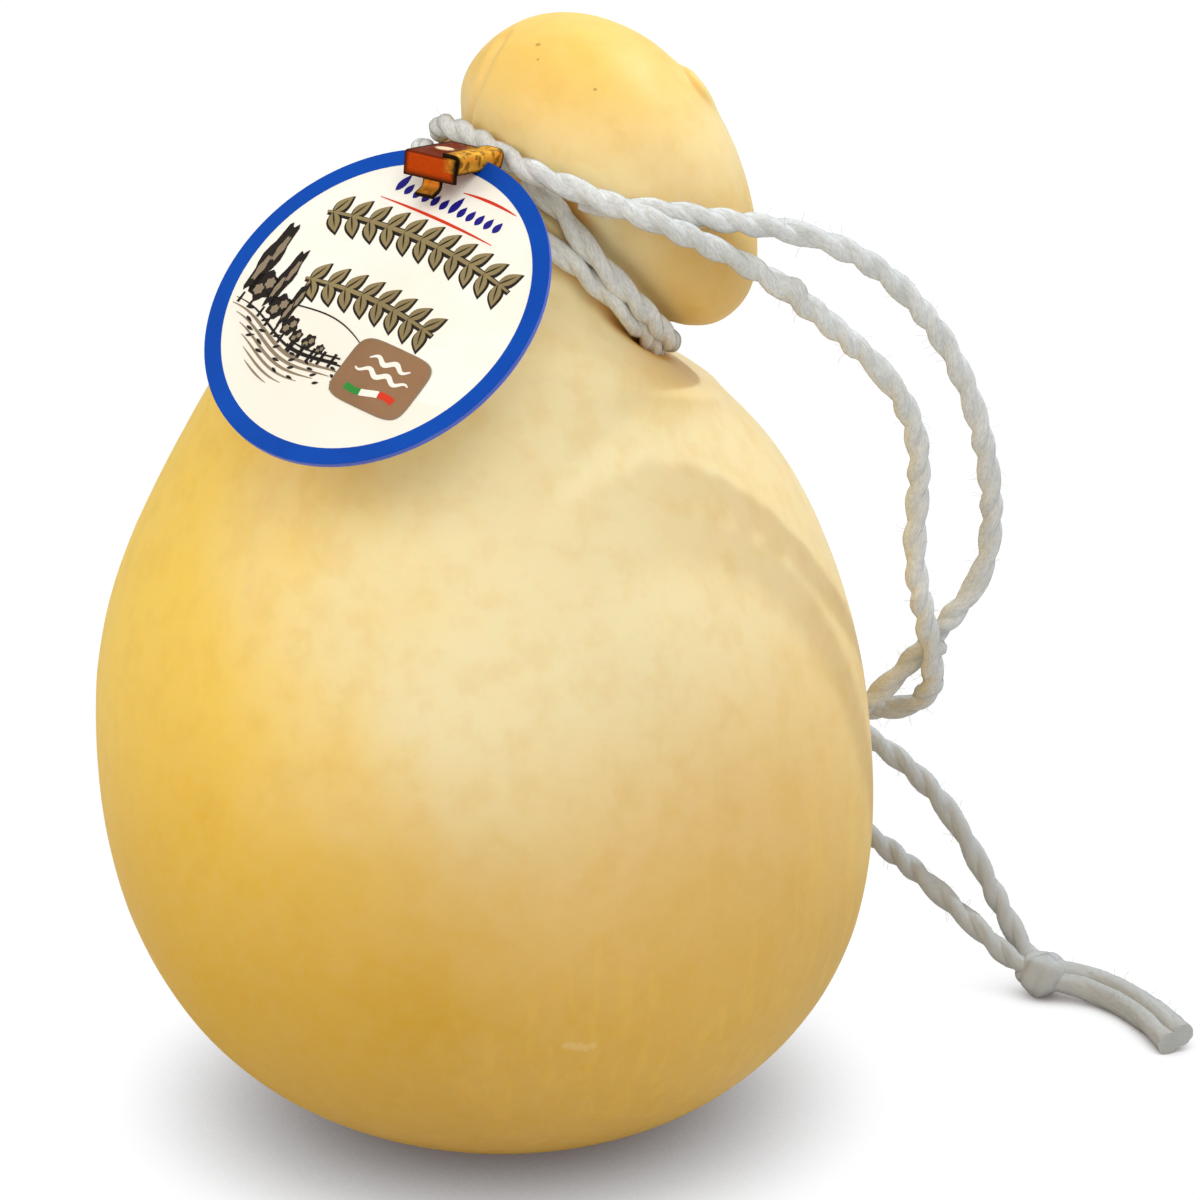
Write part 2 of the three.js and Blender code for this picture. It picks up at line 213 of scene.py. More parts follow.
def mesh_object(name: str, vertices: Points, faces: Sequence[Sequence[int]],
                smooth: bool = True) -> bpy.types.Object:
    """Make a mesh object from vertices in millimetres.

    Args:
        name: the name of the object and its mesh.
        vertices: its points, in millimetres.
        faces: the vertex indices of each face.
        smooth: whether it is shaded smooth.

    Returns:
        The object, linked into the scene, at the origin.
    """
    mesh = bpy.data.meshes.new(name)
    mesh.from_pydata((np.asarray(vertices) * MM).tolist(), [], [list(face) for face in faces])
    mesh.validate()
    mesh.polygons.foreach_set("use_smooth", [smooth] * len(mesh.polygons))
    mesh.update()
    return linked_object(name, mesh)


def face_outwards(made: bpy.types.Object) -> None:
    """Merge the doubles of a closed mesh and turn all its faces outwards."""
    work = bmesh.new()
    work.from_mesh(made.data)
    bmesh.ops.remove_doubles(work, verts=work.verts, dist=MERGE_DISTANCE)
    bmesh.ops.recalc_face_normals(work, faces=work.faces)
    work.to_mesh(made.data)
    work.free()


def point_attribute(made: bpy.types.Object, name: str, values: Points) -> None:
    """Store one number for each vertex, for a material to read."""
    attribute = made.data.attributes.new(name, "FLOAT", "POINT")
    attribute.data.foreach_set("value", np.asarray(values, np.float32))


def skin_faces(rings: int, sides: int) -> list[list[int]]:
    """Return the faces of a skin of rings, closed at each end by a middle vertex after the rings.

    Args:
        rings: how many rings it has.
        sides: how many vertices each ring has.

    Returns:
        The vertex indices of each face.
    """
    faces = []
    for ring in range(rings - 1):
        for side in range(sides):
            after = (side + 1) % sides
            low = ring * sides
            high = low + sides
            faces.append([low + side, low + after, high + after, high + side])
    first = rings * sides
    last = (rings - 1) * sides
    for side in range(sides):
        after = (side + 1) % sides
        faces.append([first, after, side])
        faces.append([first + 1, last + side, last + after])
    return faces


# ---- node trees -----------------------------------------------------------------------------------

class Nodes:
    """Adds nodes to one tree, and links or sets their inputs."""

    def __init__(self, tree: bpy.types.NodeTree) -> None:
        """Remember the tree."""
        self.tree = tree

    def add(self, kind: str, inputs: dict[str | int, Value] | None = None,
            **settings: Value) -> bpy.types.Node:
        """Add a node.

        Args:
            kind: its type.
            inputs: for each input, by name or number, a value or the socket to link from.
            settings: properties of the node.

        Returns:
            The node.
        """
        node = self.tree.nodes.new(kind)
        for key, value in settings.items():
            setattr(node, key, value)
        for key, value in (inputs or {}).items():
            if isinstance(value, Socket):
                self.link(value, node.inputs[key])
            else:
                node.inputs[key].default_value = value
        return node

    def link(self, source: Socket, target: Socket) -> None:
        """Link one socket to another."""
        self.tree.links.new(source, target)

    def feed(self, shader: bpy.types.Node, **sources: Socket) -> None:
        """Link sockets to the inputs of a shader, named with underscores for spaces."""
        for key, source in sources.items():
            self.link(source, shader.inputs[key.replace("_", " ")])

    def math(self, operation: str, *values: Value) -> Socket:
        """Return the result of a Math node whose inputs are values or sockets."""
        return self.add("ShaderNodeMath", dict(enumerate(values)), operation=operation).outputs[0]

    def plus(self, first: Value, second: Value) -> Socket:
        """Return the sum of two values or sockets."""
        return self.math("ADD", first, second)

    def minus(self, first: Value, second: Value) -> Socket:
        """Return the first value or socket less the second."""
        return self.math("SUBTRACT", first, second)

    def times(self, first: Value, second: Value) -> Socket:
        """Return the product of two values or sockets."""
        return self.math("MULTIPLY", first, second)

    def place(self) -> Socket:
        """Return where a point lies in the part's frame, in metres."""
        return self.add("ShaderNodeTexCoord").outputs["Object"]

    def attribute(self, name: str) -> Socket:
        """Return a number that the mesh stores."""
        return self.add("ShaderNodeAttribute", attribute_name=name).outputs["Fac"]

    def mix(self, share: Value, first: Value, second: Value) -> Socket:
        """Return the colour that a Mix node makes of two colours."""
        return self.add("ShaderNodeMix", {0: share, 6: first, 7: second}, data_type="RGBA").outputs[2]

    def lay_over(self, colour: Value, layers: Sequence[tuple[Colour, Socket, float]]) -> Value:
        """Lay tones over a colour, each with its mask and its strength."""
        for tone, mask, strength in layers:
            colour = self.mix(self.times(mask, strength), colour, srgb(*tone))
        return colour

    def ramp(self, value: Value, low: Value, high: Value) -> Socket:
        """Return how far a value has come from low to high, from 0 to 1, eased at both ends."""
        inputs = {"Value": value, "From Min": low, "From Max": high}
        return self.add("ShaderNodeMapRange", inputs, interpolation_type="SMOOTHSTEP").outputs["Result"]

    def bump(self, height: Socket, strength: float, distance: float) -> Socket:
        """Return the normal that a Bump node makes of a height."""
        inputs = {"Height": height, "Strength": strength, "Distance": distance}
        return self.add("ShaderNodeBump", inputs).outputs["Normal"]


def new_group(name: str, kind: str, inputs: dict[str, tuple[str, Value]],
              outputs: dict[str, str]) -> tuple[Nodes, bpy.types.Node, bpy.types.Node]:
    """Make an empty node group with named sockets.

    Args:
        name: the group's name.
        kind: the type of the tree.
        inputs: for each input, its socket type and its default value, or None.
        outputs: for each output, its socket type.

    Returns:
        The tree's node maker, its input node and its output node.
    """
    tree = bpy.data.node_groups.new(name, kind)
    for socket, (socket_kind, value) in inputs.items():
        made = tree.interface.new_socket(socket, in_out="INPUT", socket_type=socket_kind)
        if value is not None:
            made.default_value = value
    for socket, socket_kind in outputs.items():
        tree.interface.new_socket(socket, in_out="OUTPUT", socket_type=socket_kind)
    nodes = Nodes(tree)
    return nodes, nodes.add("NodeGroupInput"), nodes.add("NodeGroupOutput")


class Effect(Enum):
    """The shader effects that several finishes share, by the name of their node group."""

    CLOUDS = "uneven_tone"
    FLECK = "small_fleck"
    FIBRES = "lying_fibres"


def build_effects() -> None:
    """Build the shader group of each shared effect once."""
    nodes, given, result = new_group(
        Effect.CLOUDS.value, "ShaderNodeTree",
        {"Scale": ("NodeSocketFloat", 20.0), "Detail": ("NodeSocketFloat", 4.0),
         "Low": ("NodeSocketFloat", 0.35), "High": ("NodeSocketFloat", 0.65)},
        {"Mask": "NodeSocketFloat"},
    )
    place = nodes.place()
    cloud = nodes.add("ShaderNodeTexNoise", {"Vector": place, "Scale": given.outputs["Scale"],
                                             "Detail": given.outputs["Detail"], "Roughness": 0.55})
    mask = nodes.ramp(cloud.outputs["Fac"], given.outputs["Low"], given.outputs["High"])
    nodes.link(mask, result.inputs["Mask"])

    nodes, given, result = new_group(
        Effect.FLECK.value, "ShaderNodeTree",
        {"Centre": ("NodeSocketVector", None), "Radius": ("NodeSocketFloat", 0.001)},
        {"Mask": "NodeSocketFloat"},
    )
    place = nodes.place()
    wobble = nodes.add("ShaderNodeTexNoise", {"Vector": place, "Scale": 1500.0, "Detail": 2.0})
    gap = nodes.add("ShaderNodeVectorMath", {0: place, 1: given.outputs["Centre"]}, operation="DISTANCE")
    reach = nodes.math("DIVIDE", gap.outputs["Value"], given.outputs["Radius"])
    reach = nodes.plus(reach, nodes.times(wobble.outputs["Fac"], 0.7))
    nodes.link(nodes.ramp(reach, 1.5, 0.6), result.inputs["Mask"])

    nodes, given, result = new_group(
        Effect.FIBRES.value, "ShaderNodeTree",
        {"Fineness": ("NodeSocketFloat", 1.0)},
        {"Height": "NodeSocketFloat", "Shade": "NodeSocketFloat"},
    )
    lay = nodes.add("ShaderNodeAttribute", attribute_name=FIBRE_ATTRIBUTE).outputs["Vector"]
    stretched = nodes.add("ShaderNodeVectorMath", {0: lay, 1: (130.0, 1.0, 1.0)}, operation="MULTIPLY")
    fine = nodes.add("ShaderNodeTexNoise", {
        "Vector": stretched.outputs["Vector"], "Scale": nodes.times(given.outputs["Fineness"], 7.0),
        "Detail": 5.0, "Roughness": 0.62})
    broad = nodes.add("ShaderNodeTexNoise", {"Vector": stretched.outputs["Vector"], "Detail": 2.0,
                                             "Scale": nodes.times(given.outputs["Fineness"], 2.2)})
    height = nodes.plus(nodes.times(fine.outputs["Fac"], 0.6),
                        nodes.times(broad.outputs["Fac"], 0.4))
    nodes.link(height, result.inputs["Height"])
    nodes.link(nodes.ramp(fine.outputs["Fac"], 0.36, 0.6), result.inputs["Shade"])


def effect(nodes: Nodes, which: Effect, **values: Value) -> bpy.types.Node:
    """Place a shared effect in a material.

    Args:
        nodes: the material's node maker.
        which: the effect.
        values: its inputs, with their names in lower case.

    Returns:
        The group node.
    """
    group = nodes.add("ShaderNodeGroup", node_tree=bpy.data.node_groups[which.value])
    for key, value in values.items():
        socket = group.inputs[key.capitalize()]
        if isinstance(value, Socket):
            nodes.link(value, socket)
        else:
            socket.default_value = value
    return group


def clouds(nodes: Nodes, scale: float, detail: float, low: float, high: float) -> Socket:
    """Return a mask of soft clouds.

    Args:
        nodes: the material's node maker.
        scale: how small the clouds are.
        detail: how ragged they are.
        low, high: where the noise counts as empty and as full.

    Returns:
        The mask, from 0 to 1.
    """
    return effect(nodes, Effect.CLOUDS, scale=scale, detail=detail, low=low, high=high).outputs["Mask"]


def new_material(name: str, **principled: Value) -> tuple[bpy.types.Material, Nodes, bpy.types.Node]:
    """Make a material with one Principled shader.

    Args:
        name: the material's name.
        principled: values for the shader's own sockets, with underscores for spaces.

    Returns:
        The material, its node maker and the shader node.
    """
    material = bpy.data.materials.new(name)
    material.use_nodes = True
    nodes = Nodes(material.node_tree)
    shader = material.node_tree.nodes["Principled BSDF"]
    for key, value in principled.items():
        shader.inputs[key.replace("_", " ")].default_value = value
    return material, nodes, shader


# ---- finishes -------------------------------------------------------------------------------------

@dataclass(frozen=True)
class RindFinish:
    """The waxy, slightly translucent skin of the cheese.

    A span says where one tone gives way to the next: across the cheese, or up it, in metres.
    """

    rich: Colour = (252, 207, 84)
    crown: Colour = (249, 203, 101)
    pale: Colour = (249, 230, 178)
    tan: Colour = (243, 204, 136)
    amber: Colour = (218, 165, 14)
    pressed: Colour = (232, 160, 44)
    fleck: Colour = (140, 92, 44)
    left_span: Span = (-0.006, -0.05)
    right_span: Span = (0.014, 0.07)
    low_span: Span = (0.108, 0.042)
    head_span: Span = (0.176, 0.2)
    shade_top_span: Span = (0.186, 0.166)
    shade_foot_span: Span = (0.136, 0.15)
    shade_side_span: Span = (0.018, 0.034)
    belly_height: float = 0.11
    wander: float = 0.022
    gloss_roughness: float = 0.52
    relief: float = 0.00012
    # each mark: its place and its radius, in millimetres; a scratch ray cast gave most of the places
    scratch: tuple[tuple[float, float, float, float], ...] = (
        (11.8, -65.6, 39.6, 1.0), (12.9, -65.2, 39.4, 1.2), (14.0, -64.9, 39.1, 1.3),
        (15.1, -64.6, 38.8, 1.2), (16.4, -64.4, 39.0, 1.0),
    )
    flecks: tuple[tuple[float, float, float, float], ...] = (
        (6.9, -1.4, 200.5, 0.6), (6.9, -5.0, 198.8, 0.35), (16.8, -12.8, 195.5, 0.4), (61.6, -3.9, 98.0, 0.5),
    )

    @staticmethod
    def spots(nodes: Nodes, marks: Sequence[Sequence[float]]) -> Socket:
        """Mask several small round marks.

        Args:
            nodes: the material's nodes.
            marks: the place and radius of each mark, in millimetres.

        Returns:
            The mask of them all.
        """
        masks = []
        for *centre, radius in marks:
            centre = tuple(value * MM for value in centre)
            masks.append(effect(nodes, Effect.FLECK, centre=centre, radius=radius * MM).outputs["Mask"])
        return reduce(lambda first, second: nodes.math("MAXIMUM", first, second), masks)

    def material(self) -> bpy.types.Material:
        """Build the material.

        Returns:
            The material.
        """
        material, nodes, shader = new_material(
            "rind", Subsurface_Weight=0.4, Subsurface_Radius=(1.0, 0.42, 0.14), Subsurface_Scale=0.0035,
            Coat_Roughness=0.4, IOR=1.45, Specular_IOR_Level=0.26,
        )
        across, _, height = nodes.add("ShaderNodeSeparateXYZ", {0: nodes.place()}).outputs
        broad = clouds(nodes, 16.0, 3.0, 0.3, 0.7)
        patch = clouds(nodes, 55.0, 5.0, 0.35, 0.68)
        mottle = clouds(nodes, 170.0, 4.0, 0.42, 0.7)
        dimples = clouds(nodes, 260.0, 2.0, 0.2, 0.8)
        grain = clouds(nodes, 420.0, 3.0, 0.25, 0.75)
        drawn_out = nodes.add("ShaderNodeMapping", {"Vector": nodes.place(), "Scale": (1.0, 1.0, 0.06)})
        streaks = nodes.add("ShaderNodeTexNoise", {
            "Vector": drawn_out.outputs["Vector"], "Scale": 330.0, "Detail": 2.0}).outputs["Fac"]

        wander = nodes.times(nodes.minus(broad, 0.5), self.wander)
        side = nodes.plus(across, wander)
        to_left = nodes.ramp(side, *self.left_span)
        below = nodes.times(nodes.math("MAXIMUM", nodes.minus(self.belly_height, height), 0.0), 0.75)
        to_right = nodes.ramp(nodes.plus(side, below), *self.right_span)
        # deeper amber towards the bottom: painted shade
        low_down = nodes.times(nodes.ramp(nodes.plus(height, nodes.times(wander, 0.5)), *self.low_span),
                               nodes.minus(1.0, nodes.times(to_left, 0.25)))
        painted_low_shade = nodes.times(low_down, nodes.minus(1.0, nodes.times(to_right, 0.22)))
        # amber under the head on its right side: painted shade
        painted_shade_under_head = nodes.times(nodes.ramp(height, *self.shade_top_span),
                                 nodes.ramp(across, *self.shade_side_span))
        painted_shade_under_head = nodes.times(painted_shade_under_head, nodes.ramp(height, *self.shade_foot_span))
        wiped = nodes.times(nodes.ramp(streaks, 0.5, 0.68), nodes.times(to_right, low_down))
        flecks = self.spots(nodes, self.flecks)
        # rich yellow on the left, pale in the middle, tan to the right: partly uneven rind colour, partly a
        # painted softbox sheen on the pale middle
        colour = nodes.lay_over(nodes.mix(to_left, srgb(*self.pale), srgb(*self.rich)), (
            (self.tan, to_right, 0.75),
            (self.amber, painted_low_shade, 1.0),
            (self.crown, nodes.ramp(height, *self.head_span), 1.0),
            (self.amber, painted_shade_under_head, 0.6),
            (self.tan, patch, 0.1),
            (self.amber, mottle, 0.16),
            (self.pale, grain, 0.06),
            (self.rich, wiped, 0.15),
            # orange painted contact shade on the skin just beside the twine turns
            (self.pressed, nodes.attribute(TWINE_SHADE_ATTRIBUTE), 0.75),
            # tan painted shade in the head's fold, and painted shadow on the right of the body's step
            (self.tan, nodes.attribute(FOLD_STEP_SHADE_ATTRIBUTE), 0.6),
            (self.pale, self.spots(nodes, self.scratch), 0.25),
            (self.fleck, flecks, 0.6),
        ))
        roughness = nodes.plus(nodes.times(patch, 0.08), self.gloss_roughness)
        coat = nodes.plus(nodes.times(broad, 0.05), 0.03)
        raised = nodes.plus(nodes.times(dimples, 0.5), nodes.times(streaks, 0.35))
        raised = nodes.minus(raised, nodes.times(flecks, 3.0))
        nodes.feed(shader, Base_Color=colour, Roughness=roughness, Coat_Weight=coat,
                   Normal=nodes.bump(raised, 0.35, self.relief))
        return material


@dataclass(frozen=True)
class CottonFinish:
    """Off-white twisted cotton, matt and fibrous, with painted shade that greys it towards the floor."""

    light: Colour = (234, 233, 227)
    dark: Colour = (174, 173, 167)
    shadow: Colour = (108, 104, 97)
    low_span: Span = (0.1, 0.02)
    edge_span: Span = (0.62, 0.95)
    matt_roughness: float = 0.86
    relief: float = 0.0003

    def material(self) -> bpy.types.Material:
        """Build the material.

        Returns:
            The material.
        """
        material, nodes, shader = new_material(
            "cotton", Subsurface_Weight=0.15, Subsurface_Radius=(1.0, 0.95, 0.85), Subsurface_Scale=0.0008,
            Sheen_Weight=0.05, Sheen_Roughness=0.6, IOR=1.4, Specular_IOR_Level=0.2,
        )
        fibres = effect(nodes, Effect.FIBRES, fineness=1.0)
        soil = clouds(nodes, 130.0, 4.0, 0.35, 0.7)
        height = nodes.add("ShaderNodeSeparateXYZ", {0: nodes.place()}).outputs["Z"]
        edge = nodes.add("ShaderNodeLayerWeight", {"Blend": 0.5}).outputs["Facing"]
        colour = nodes.lay_over(srgb(*self.light), (
            (self.dark, nodes.minus(1.0, fibres.outputs["Shade"]), 0.45),
            (self.dark, soil, 0.35),
            # greyer towards the floor: painted shade
            (self.dark, nodes.ramp(height, *self.low_span), 0.75),
            (self.shadow, nodes.ramp(edge, *self.edge_span), 0.5),
        ))
        roughness = nodes.plus(nodes.times(soil, 0.08), self.matt_roughness)
        nodes.feed(shader, Base_Color=colour, Roughness=roughness,
                   Normal=nodes.bump(fibres.outputs["Height"], 0.5, self.relief))
        return material


@dataclass(frozen=True)
class CardFinish:
    """A printed or bare face of the coated card."""

    name: str
    colour: Colour
    shade: Colour
    roughness: float = 0.38
    relief: float = 0.00004

    def material(self) -> bpy.types.Material:
        """Build the material.

        Returns:
            The material.
        """
        material, nodes, shader = new_material(
            self.name, Coat_Roughness=0.3, IOR=1.45, Specular_IOR_Level=0.15)
        tone = clouds(nodes, 70.0, 3.0, 0.35, 0.7)
        grain = clouds(nodes, 1400.0, 2.0, 0.3, 0.7)
        share = nodes.plus(nodes.times(tone, 0.4), nodes.times(grain, 0.12))
        nodes.feed(shader, Base_Color=nodes.mix(share, srgb(*self.colour), srgb(*self.shade)),
                   Roughness=nodes.plus(nodes.times(grain, 0.06), self.roughness),
                   Coat_Weight=nodes.times(tone, 0.02), Normal=nodes.bump(grain, 0.12, self.relief))
        return material


@dataclass(frozen=True)
class ClipFinish:
    """Lacquered coppery sheet metal with a golden speckle, dark tarnish along its folds, a painted highlight
    on its boss and painted shade on its upward faces.
    """

    copper: Colour = (196, 70, 8)
    gold: Colour = (244, 178, 58)
    tarnish: Colour = (34, 24, 14)
    brown: Colour = (84, 28, 3)
    cream: Colour = (255, 226, 180)
    top_shade_span: Span = (0.35, 0.75)
    metallic: float = 0.25
    coat: float = 0.03
    relief: float = 0.00012

    def material(self) -> bpy.types.Material:
        """Build the material.

        Returns:
            The material.
        """
        material, nodes, shader = new_material(
            "copper", Coat_Roughness=0.3, IOR=1.45, Specular_IOR_Level=0.02)
        speckle = clouds(nodes, 900.0, 5.0, 0.4, 0.52)
        blotch = clouds(nodes, 240.0, 3.0, 0.4, 0.62)
        gilt = nodes.attribute(GILT_ATTRIBUTE)
        tarnish = nodes.attribute(EDGE_ATTRIBUTE)
        facing = nodes.add("ShaderNodeNewGeometry").outputs["Normal"]
        # upward faces painted a darker brown: painted shade
        upwards = nodes.ramp(nodes.add("ShaderNodeSeparateXYZ", {0: facing}).outputs["Z"], *self.top_shade_span)
        colour = nodes.lay_over(srgb(*self.copper), (
            (self.brown, upwards, 0.82),
            (self.gold, nodes.times(gilt, nodes.plus(nodes.times(blotch, 0.4), 0.6)), 1.0),
            (self.tarnish, nodes.times(gilt, nodes.minus(1.0, speckle)), 0.6),
            # cream painted highlight on the boss
            (self.cream, nodes.attribute(BOSS_HIGHLIGHT_ATTRIBUTE), 1.0),
            (self.tarnish, tarnish, 1.0),
        ))
        nodes.feed(shader, Base_Color=colour,
                   Metallic=nodes.minus(self.metallic, nodes.times(tarnish, self.metallic)),
                   Roughness=nodes.plus(nodes.times(speckle, 0.15), 0.42),
                   Coat_Weight=nodes.minus(self.coat, nodes.times(tarnish, self.coat)),
                   Normal=nodes.bump(speckle, 0.5, self.relief))
        return material


# ---- the twine ------------------------------------------------------------------------------------

# The two strands of the doubled twine, from the neck to the knot, as in the CAD model. Places picked in
# the photo were smoothed and resampled by a scratch script, which made these rows.
UPPER_STRAND = (
    (14.4, -22.3, 178.6), (21.5, -23.9, 177.7), (28.9, -23.3, 176.8), (36.5, -20.7, 174.8),
    (44.0, -17.8, 172.9), (51.2, -14.2, 170.5), (57.9, -10.6, 167.3), (63.9, -7.2, 163.3),
    (69.4, -4.0, 158.3), (74.2, -1.0, 152.4), (78.5, 1.9, 145.9), (82.0, 4.6, 138.7),
    (84.8, 7.3, 131.2), (86.9, 10.0, 123.3), (88.3, 12.7, 115.4), (88.9, 15.6, 107.4),
    (88.6, 18.5, 100.0), (87.0, 21.0, 93.5), (83.7, 23.1, 87.4), (78.8, 25.4, 80.5), (74.2, 28.0, 73.7),
    (69.8, 31.2, 67.6), (65.2, 34.9, 62.7), (60.0, 39.6, 58.4), (55.4, 44.7, 54.4), (52.7, 49.5, 50.6),
    (52.0, 53.9, 46.4), (53.2, 57.9, 41.7), (56.0, 60.8, 37.2), (60.0, 62.0, 33.2), (65.3, 61.4, 29.7),
    (71.9, 59.2, 25.9), (78.4, 56.0, 21.6), (84.8, 52.2, 16.8), (91.3, 48.3, 11.8), (97.6, 45.2, 7.0),
)
LOWER_STRAND = (
    (-10.7, 12.5, 181.6), (-9.9, 6.5, 183.9), (-7.5, 0.3, 185.0), (-2.9, -7.4, 184.8),
    (2.5, -14.7, 183.4), (7.2, -21.4, 182.8), (12.5, -25.7, 181.8), (18.6, -28.1, 179.9),
    (25.0, -28.6, 177.4), (31.1, -27.1, 174.3), (36.9, -23.6, 170.5), (43.0, -18.7, 165.9),
    (48.8, -14.4, 160.9), (54.9, -10.7, 155.1), (61.1, -7.1, 148.9), (66.5, -3.5, 142.7),
    (70.8, 0.0, 136.2), (73.6, 3.1, 129.4), (74.9, 6.0, 122.3), (75.0, 8.8, 113.9), (74.8, 11.4, 104.9),
    (75.5, 13.6, 96.7), (77.2, 16.2, 88.3), (78.7, 19.5, 80.8), (79.3, 23.8, 74.2), (78.6, 28.5, 68.8),
    (76.3, 33.2, 64.8), (72.1, 37.6, 62.1), (65.7, 42.9, 60.1), (61.7, 47.4, 58.5), (60.6, 51.7, 56.4),
    (61.9, 56.1, 53.6), (65.4, 59.5, 50.3), (70.2, 61.0, 46.6), (76.4, 60.6, 41.9), (82.3, 59.4, 36.3),
    (87.2, 57.7, 29.7), (91.5, 55.4, 22.4), (95.6, 52.3, 15.0), (99.6, 48.6, 8.4),
)
# The middle line of the pair of cut ends: places picked in the photo, which a scratch script turned into
# millimetres.
TAIL_LINE = (
    (109.4, 42.5, 4.1), (112.0, 41.6, 3.6), (115.5, 39.2, 3.1), (119.7, 34.0, 2.9), (123.5, 26.1, 2.9),
    (126.5, 17.4, 2.9),
)
# Each knob on the lower strand: where it is, how far it stands out and how wide it is. The places were
# picked in the photo, and a scratch ray cast put them on the twine.
KNOBS = (
    (52.4, -13.4, 160.4, 1.1, 2.3), (56.6, -9.6, 156.4, 0.5, 1.8), (80.9, 19.6, 81.2, 1.5, 1.5),
    (80.6, 25.6, 71.4, 0.8, 1.9),
)
NECK_CENTRE = (8.3, 6.0, 163.2)
LEAN_AZIMUTH = math.radians(21)
NECK_LEAN = math.radians(46)
# Each row: angle round the neck in degrees, height along the neck, radius. At the front both turns lie
# up to 2 mm from those of the CAD model, and the upper one starts sooner, under the lower strand.
LOWER_TURN = (
    (91.0, -1.5, 27.1), (106.0, -1.5, 27.1), (121.0, -1.6, 27.1), (136.0, -2.0, 27.1),
    (151.0, -2.6, 27.1), (166.0, -3.1, 27.1), (181.0, -3.1, 27.1), (196.0, -3.0, 27.1),
    (211.0, -2.7, 27.1), (226.0, -2.3, 27.1), (241.0, -2.0, 27.1), (256.0, -1.9, 27.1),
    (271.0, -1.3, 27.1), (286.0, -1.1, 27.1), (301.0, -1.1, 27.1), (316.0, -1.2, 27.1),
    (331.0, -1.6, 27.1), (346.0, -2.0, 27.1), (361.0, -2.0, 27.1), (376.0, -2.0, 27.1),
    (391.0, -2.0, 27.1), (406.0, -2.0, 27.1), (421.0, -1.8, 27.1), (436.0, -1.6, 27.1),
)
UPPER_TURN = (
    (239.0, 4.3, 26.4), (244.0, 4.1, 27.0), (249.5, 3.9, 27.7), (256.0, 3.9, 27.9),
    (264.0, 3.0, 27.9), (273.0, 2.2, 28.3), (282.0, 1.8, 28.7), (291.0, 1.5, 28.9),
    (306.0, 1.3, 28.7), (327.0, 1.1, 28.5), (346.0, 1.2, 28.2), (361.0, 1.5, 27.9),
    (376.0, 2.2, 28.3), (391.0, 2.6, 28.4), (406.0, 2.6, 28.4), (421.0, 2.8, 28.4), (436.0, 3.0, 28.5),
    (451.0, 3.1, 28.4), (466.0, 3.1, 28.2), (481.0, 3.2, 27.9), (496.0, 2.8, 27.5), (511.0, 2.3, 27.2),
    (525.2, 1.7, 27.2),
)
# What differs from the free strands, in metres: the turns are drawn tighter, the cut ends open up.
TURN_TWINE = {"pitch": 0.019, "ply_radius": 0.00142, "ply_offset": 0.00068}
END_TWINE = {"pitch": 0.05, "flare": 0.22, "uneven": 0.12, "ply_radius": 0.00196, "ply_offset": 0.0003}


def leaning(lean: float) -> Points:
    """Return the direction that leans from the vertical by this angle, towards the cheese's lean."""
    return np.array([
        math.sin(lean) * math.cos(LEAN_AZIMUTH),
        math.sin(lean) * math.sin(LEAN_AZIMUTH),
        math.cos(lean),
    ])


def turn_points(rows: Sequence[Sequence[float]]) -> Points:
    """Place a turn's rows round the neck.

    Args:
        rows: angle, height and radius of each point.

    Returns:
        The points.
    """
    axis = leaning(NECK_LEAN)
    side = unit(np.cross((0, 1, 0), axis))
    other = np.cross(axis, side)
    placed = []
    for degrees, height, radius in rows:
        angle = math.radians(degrees)
        outwards = math.cos(angle) * side + math.sin(angle) * other
        placed.append(NECK_CENTRE + axis * height + radius * outwards)
    return np.array(placed)


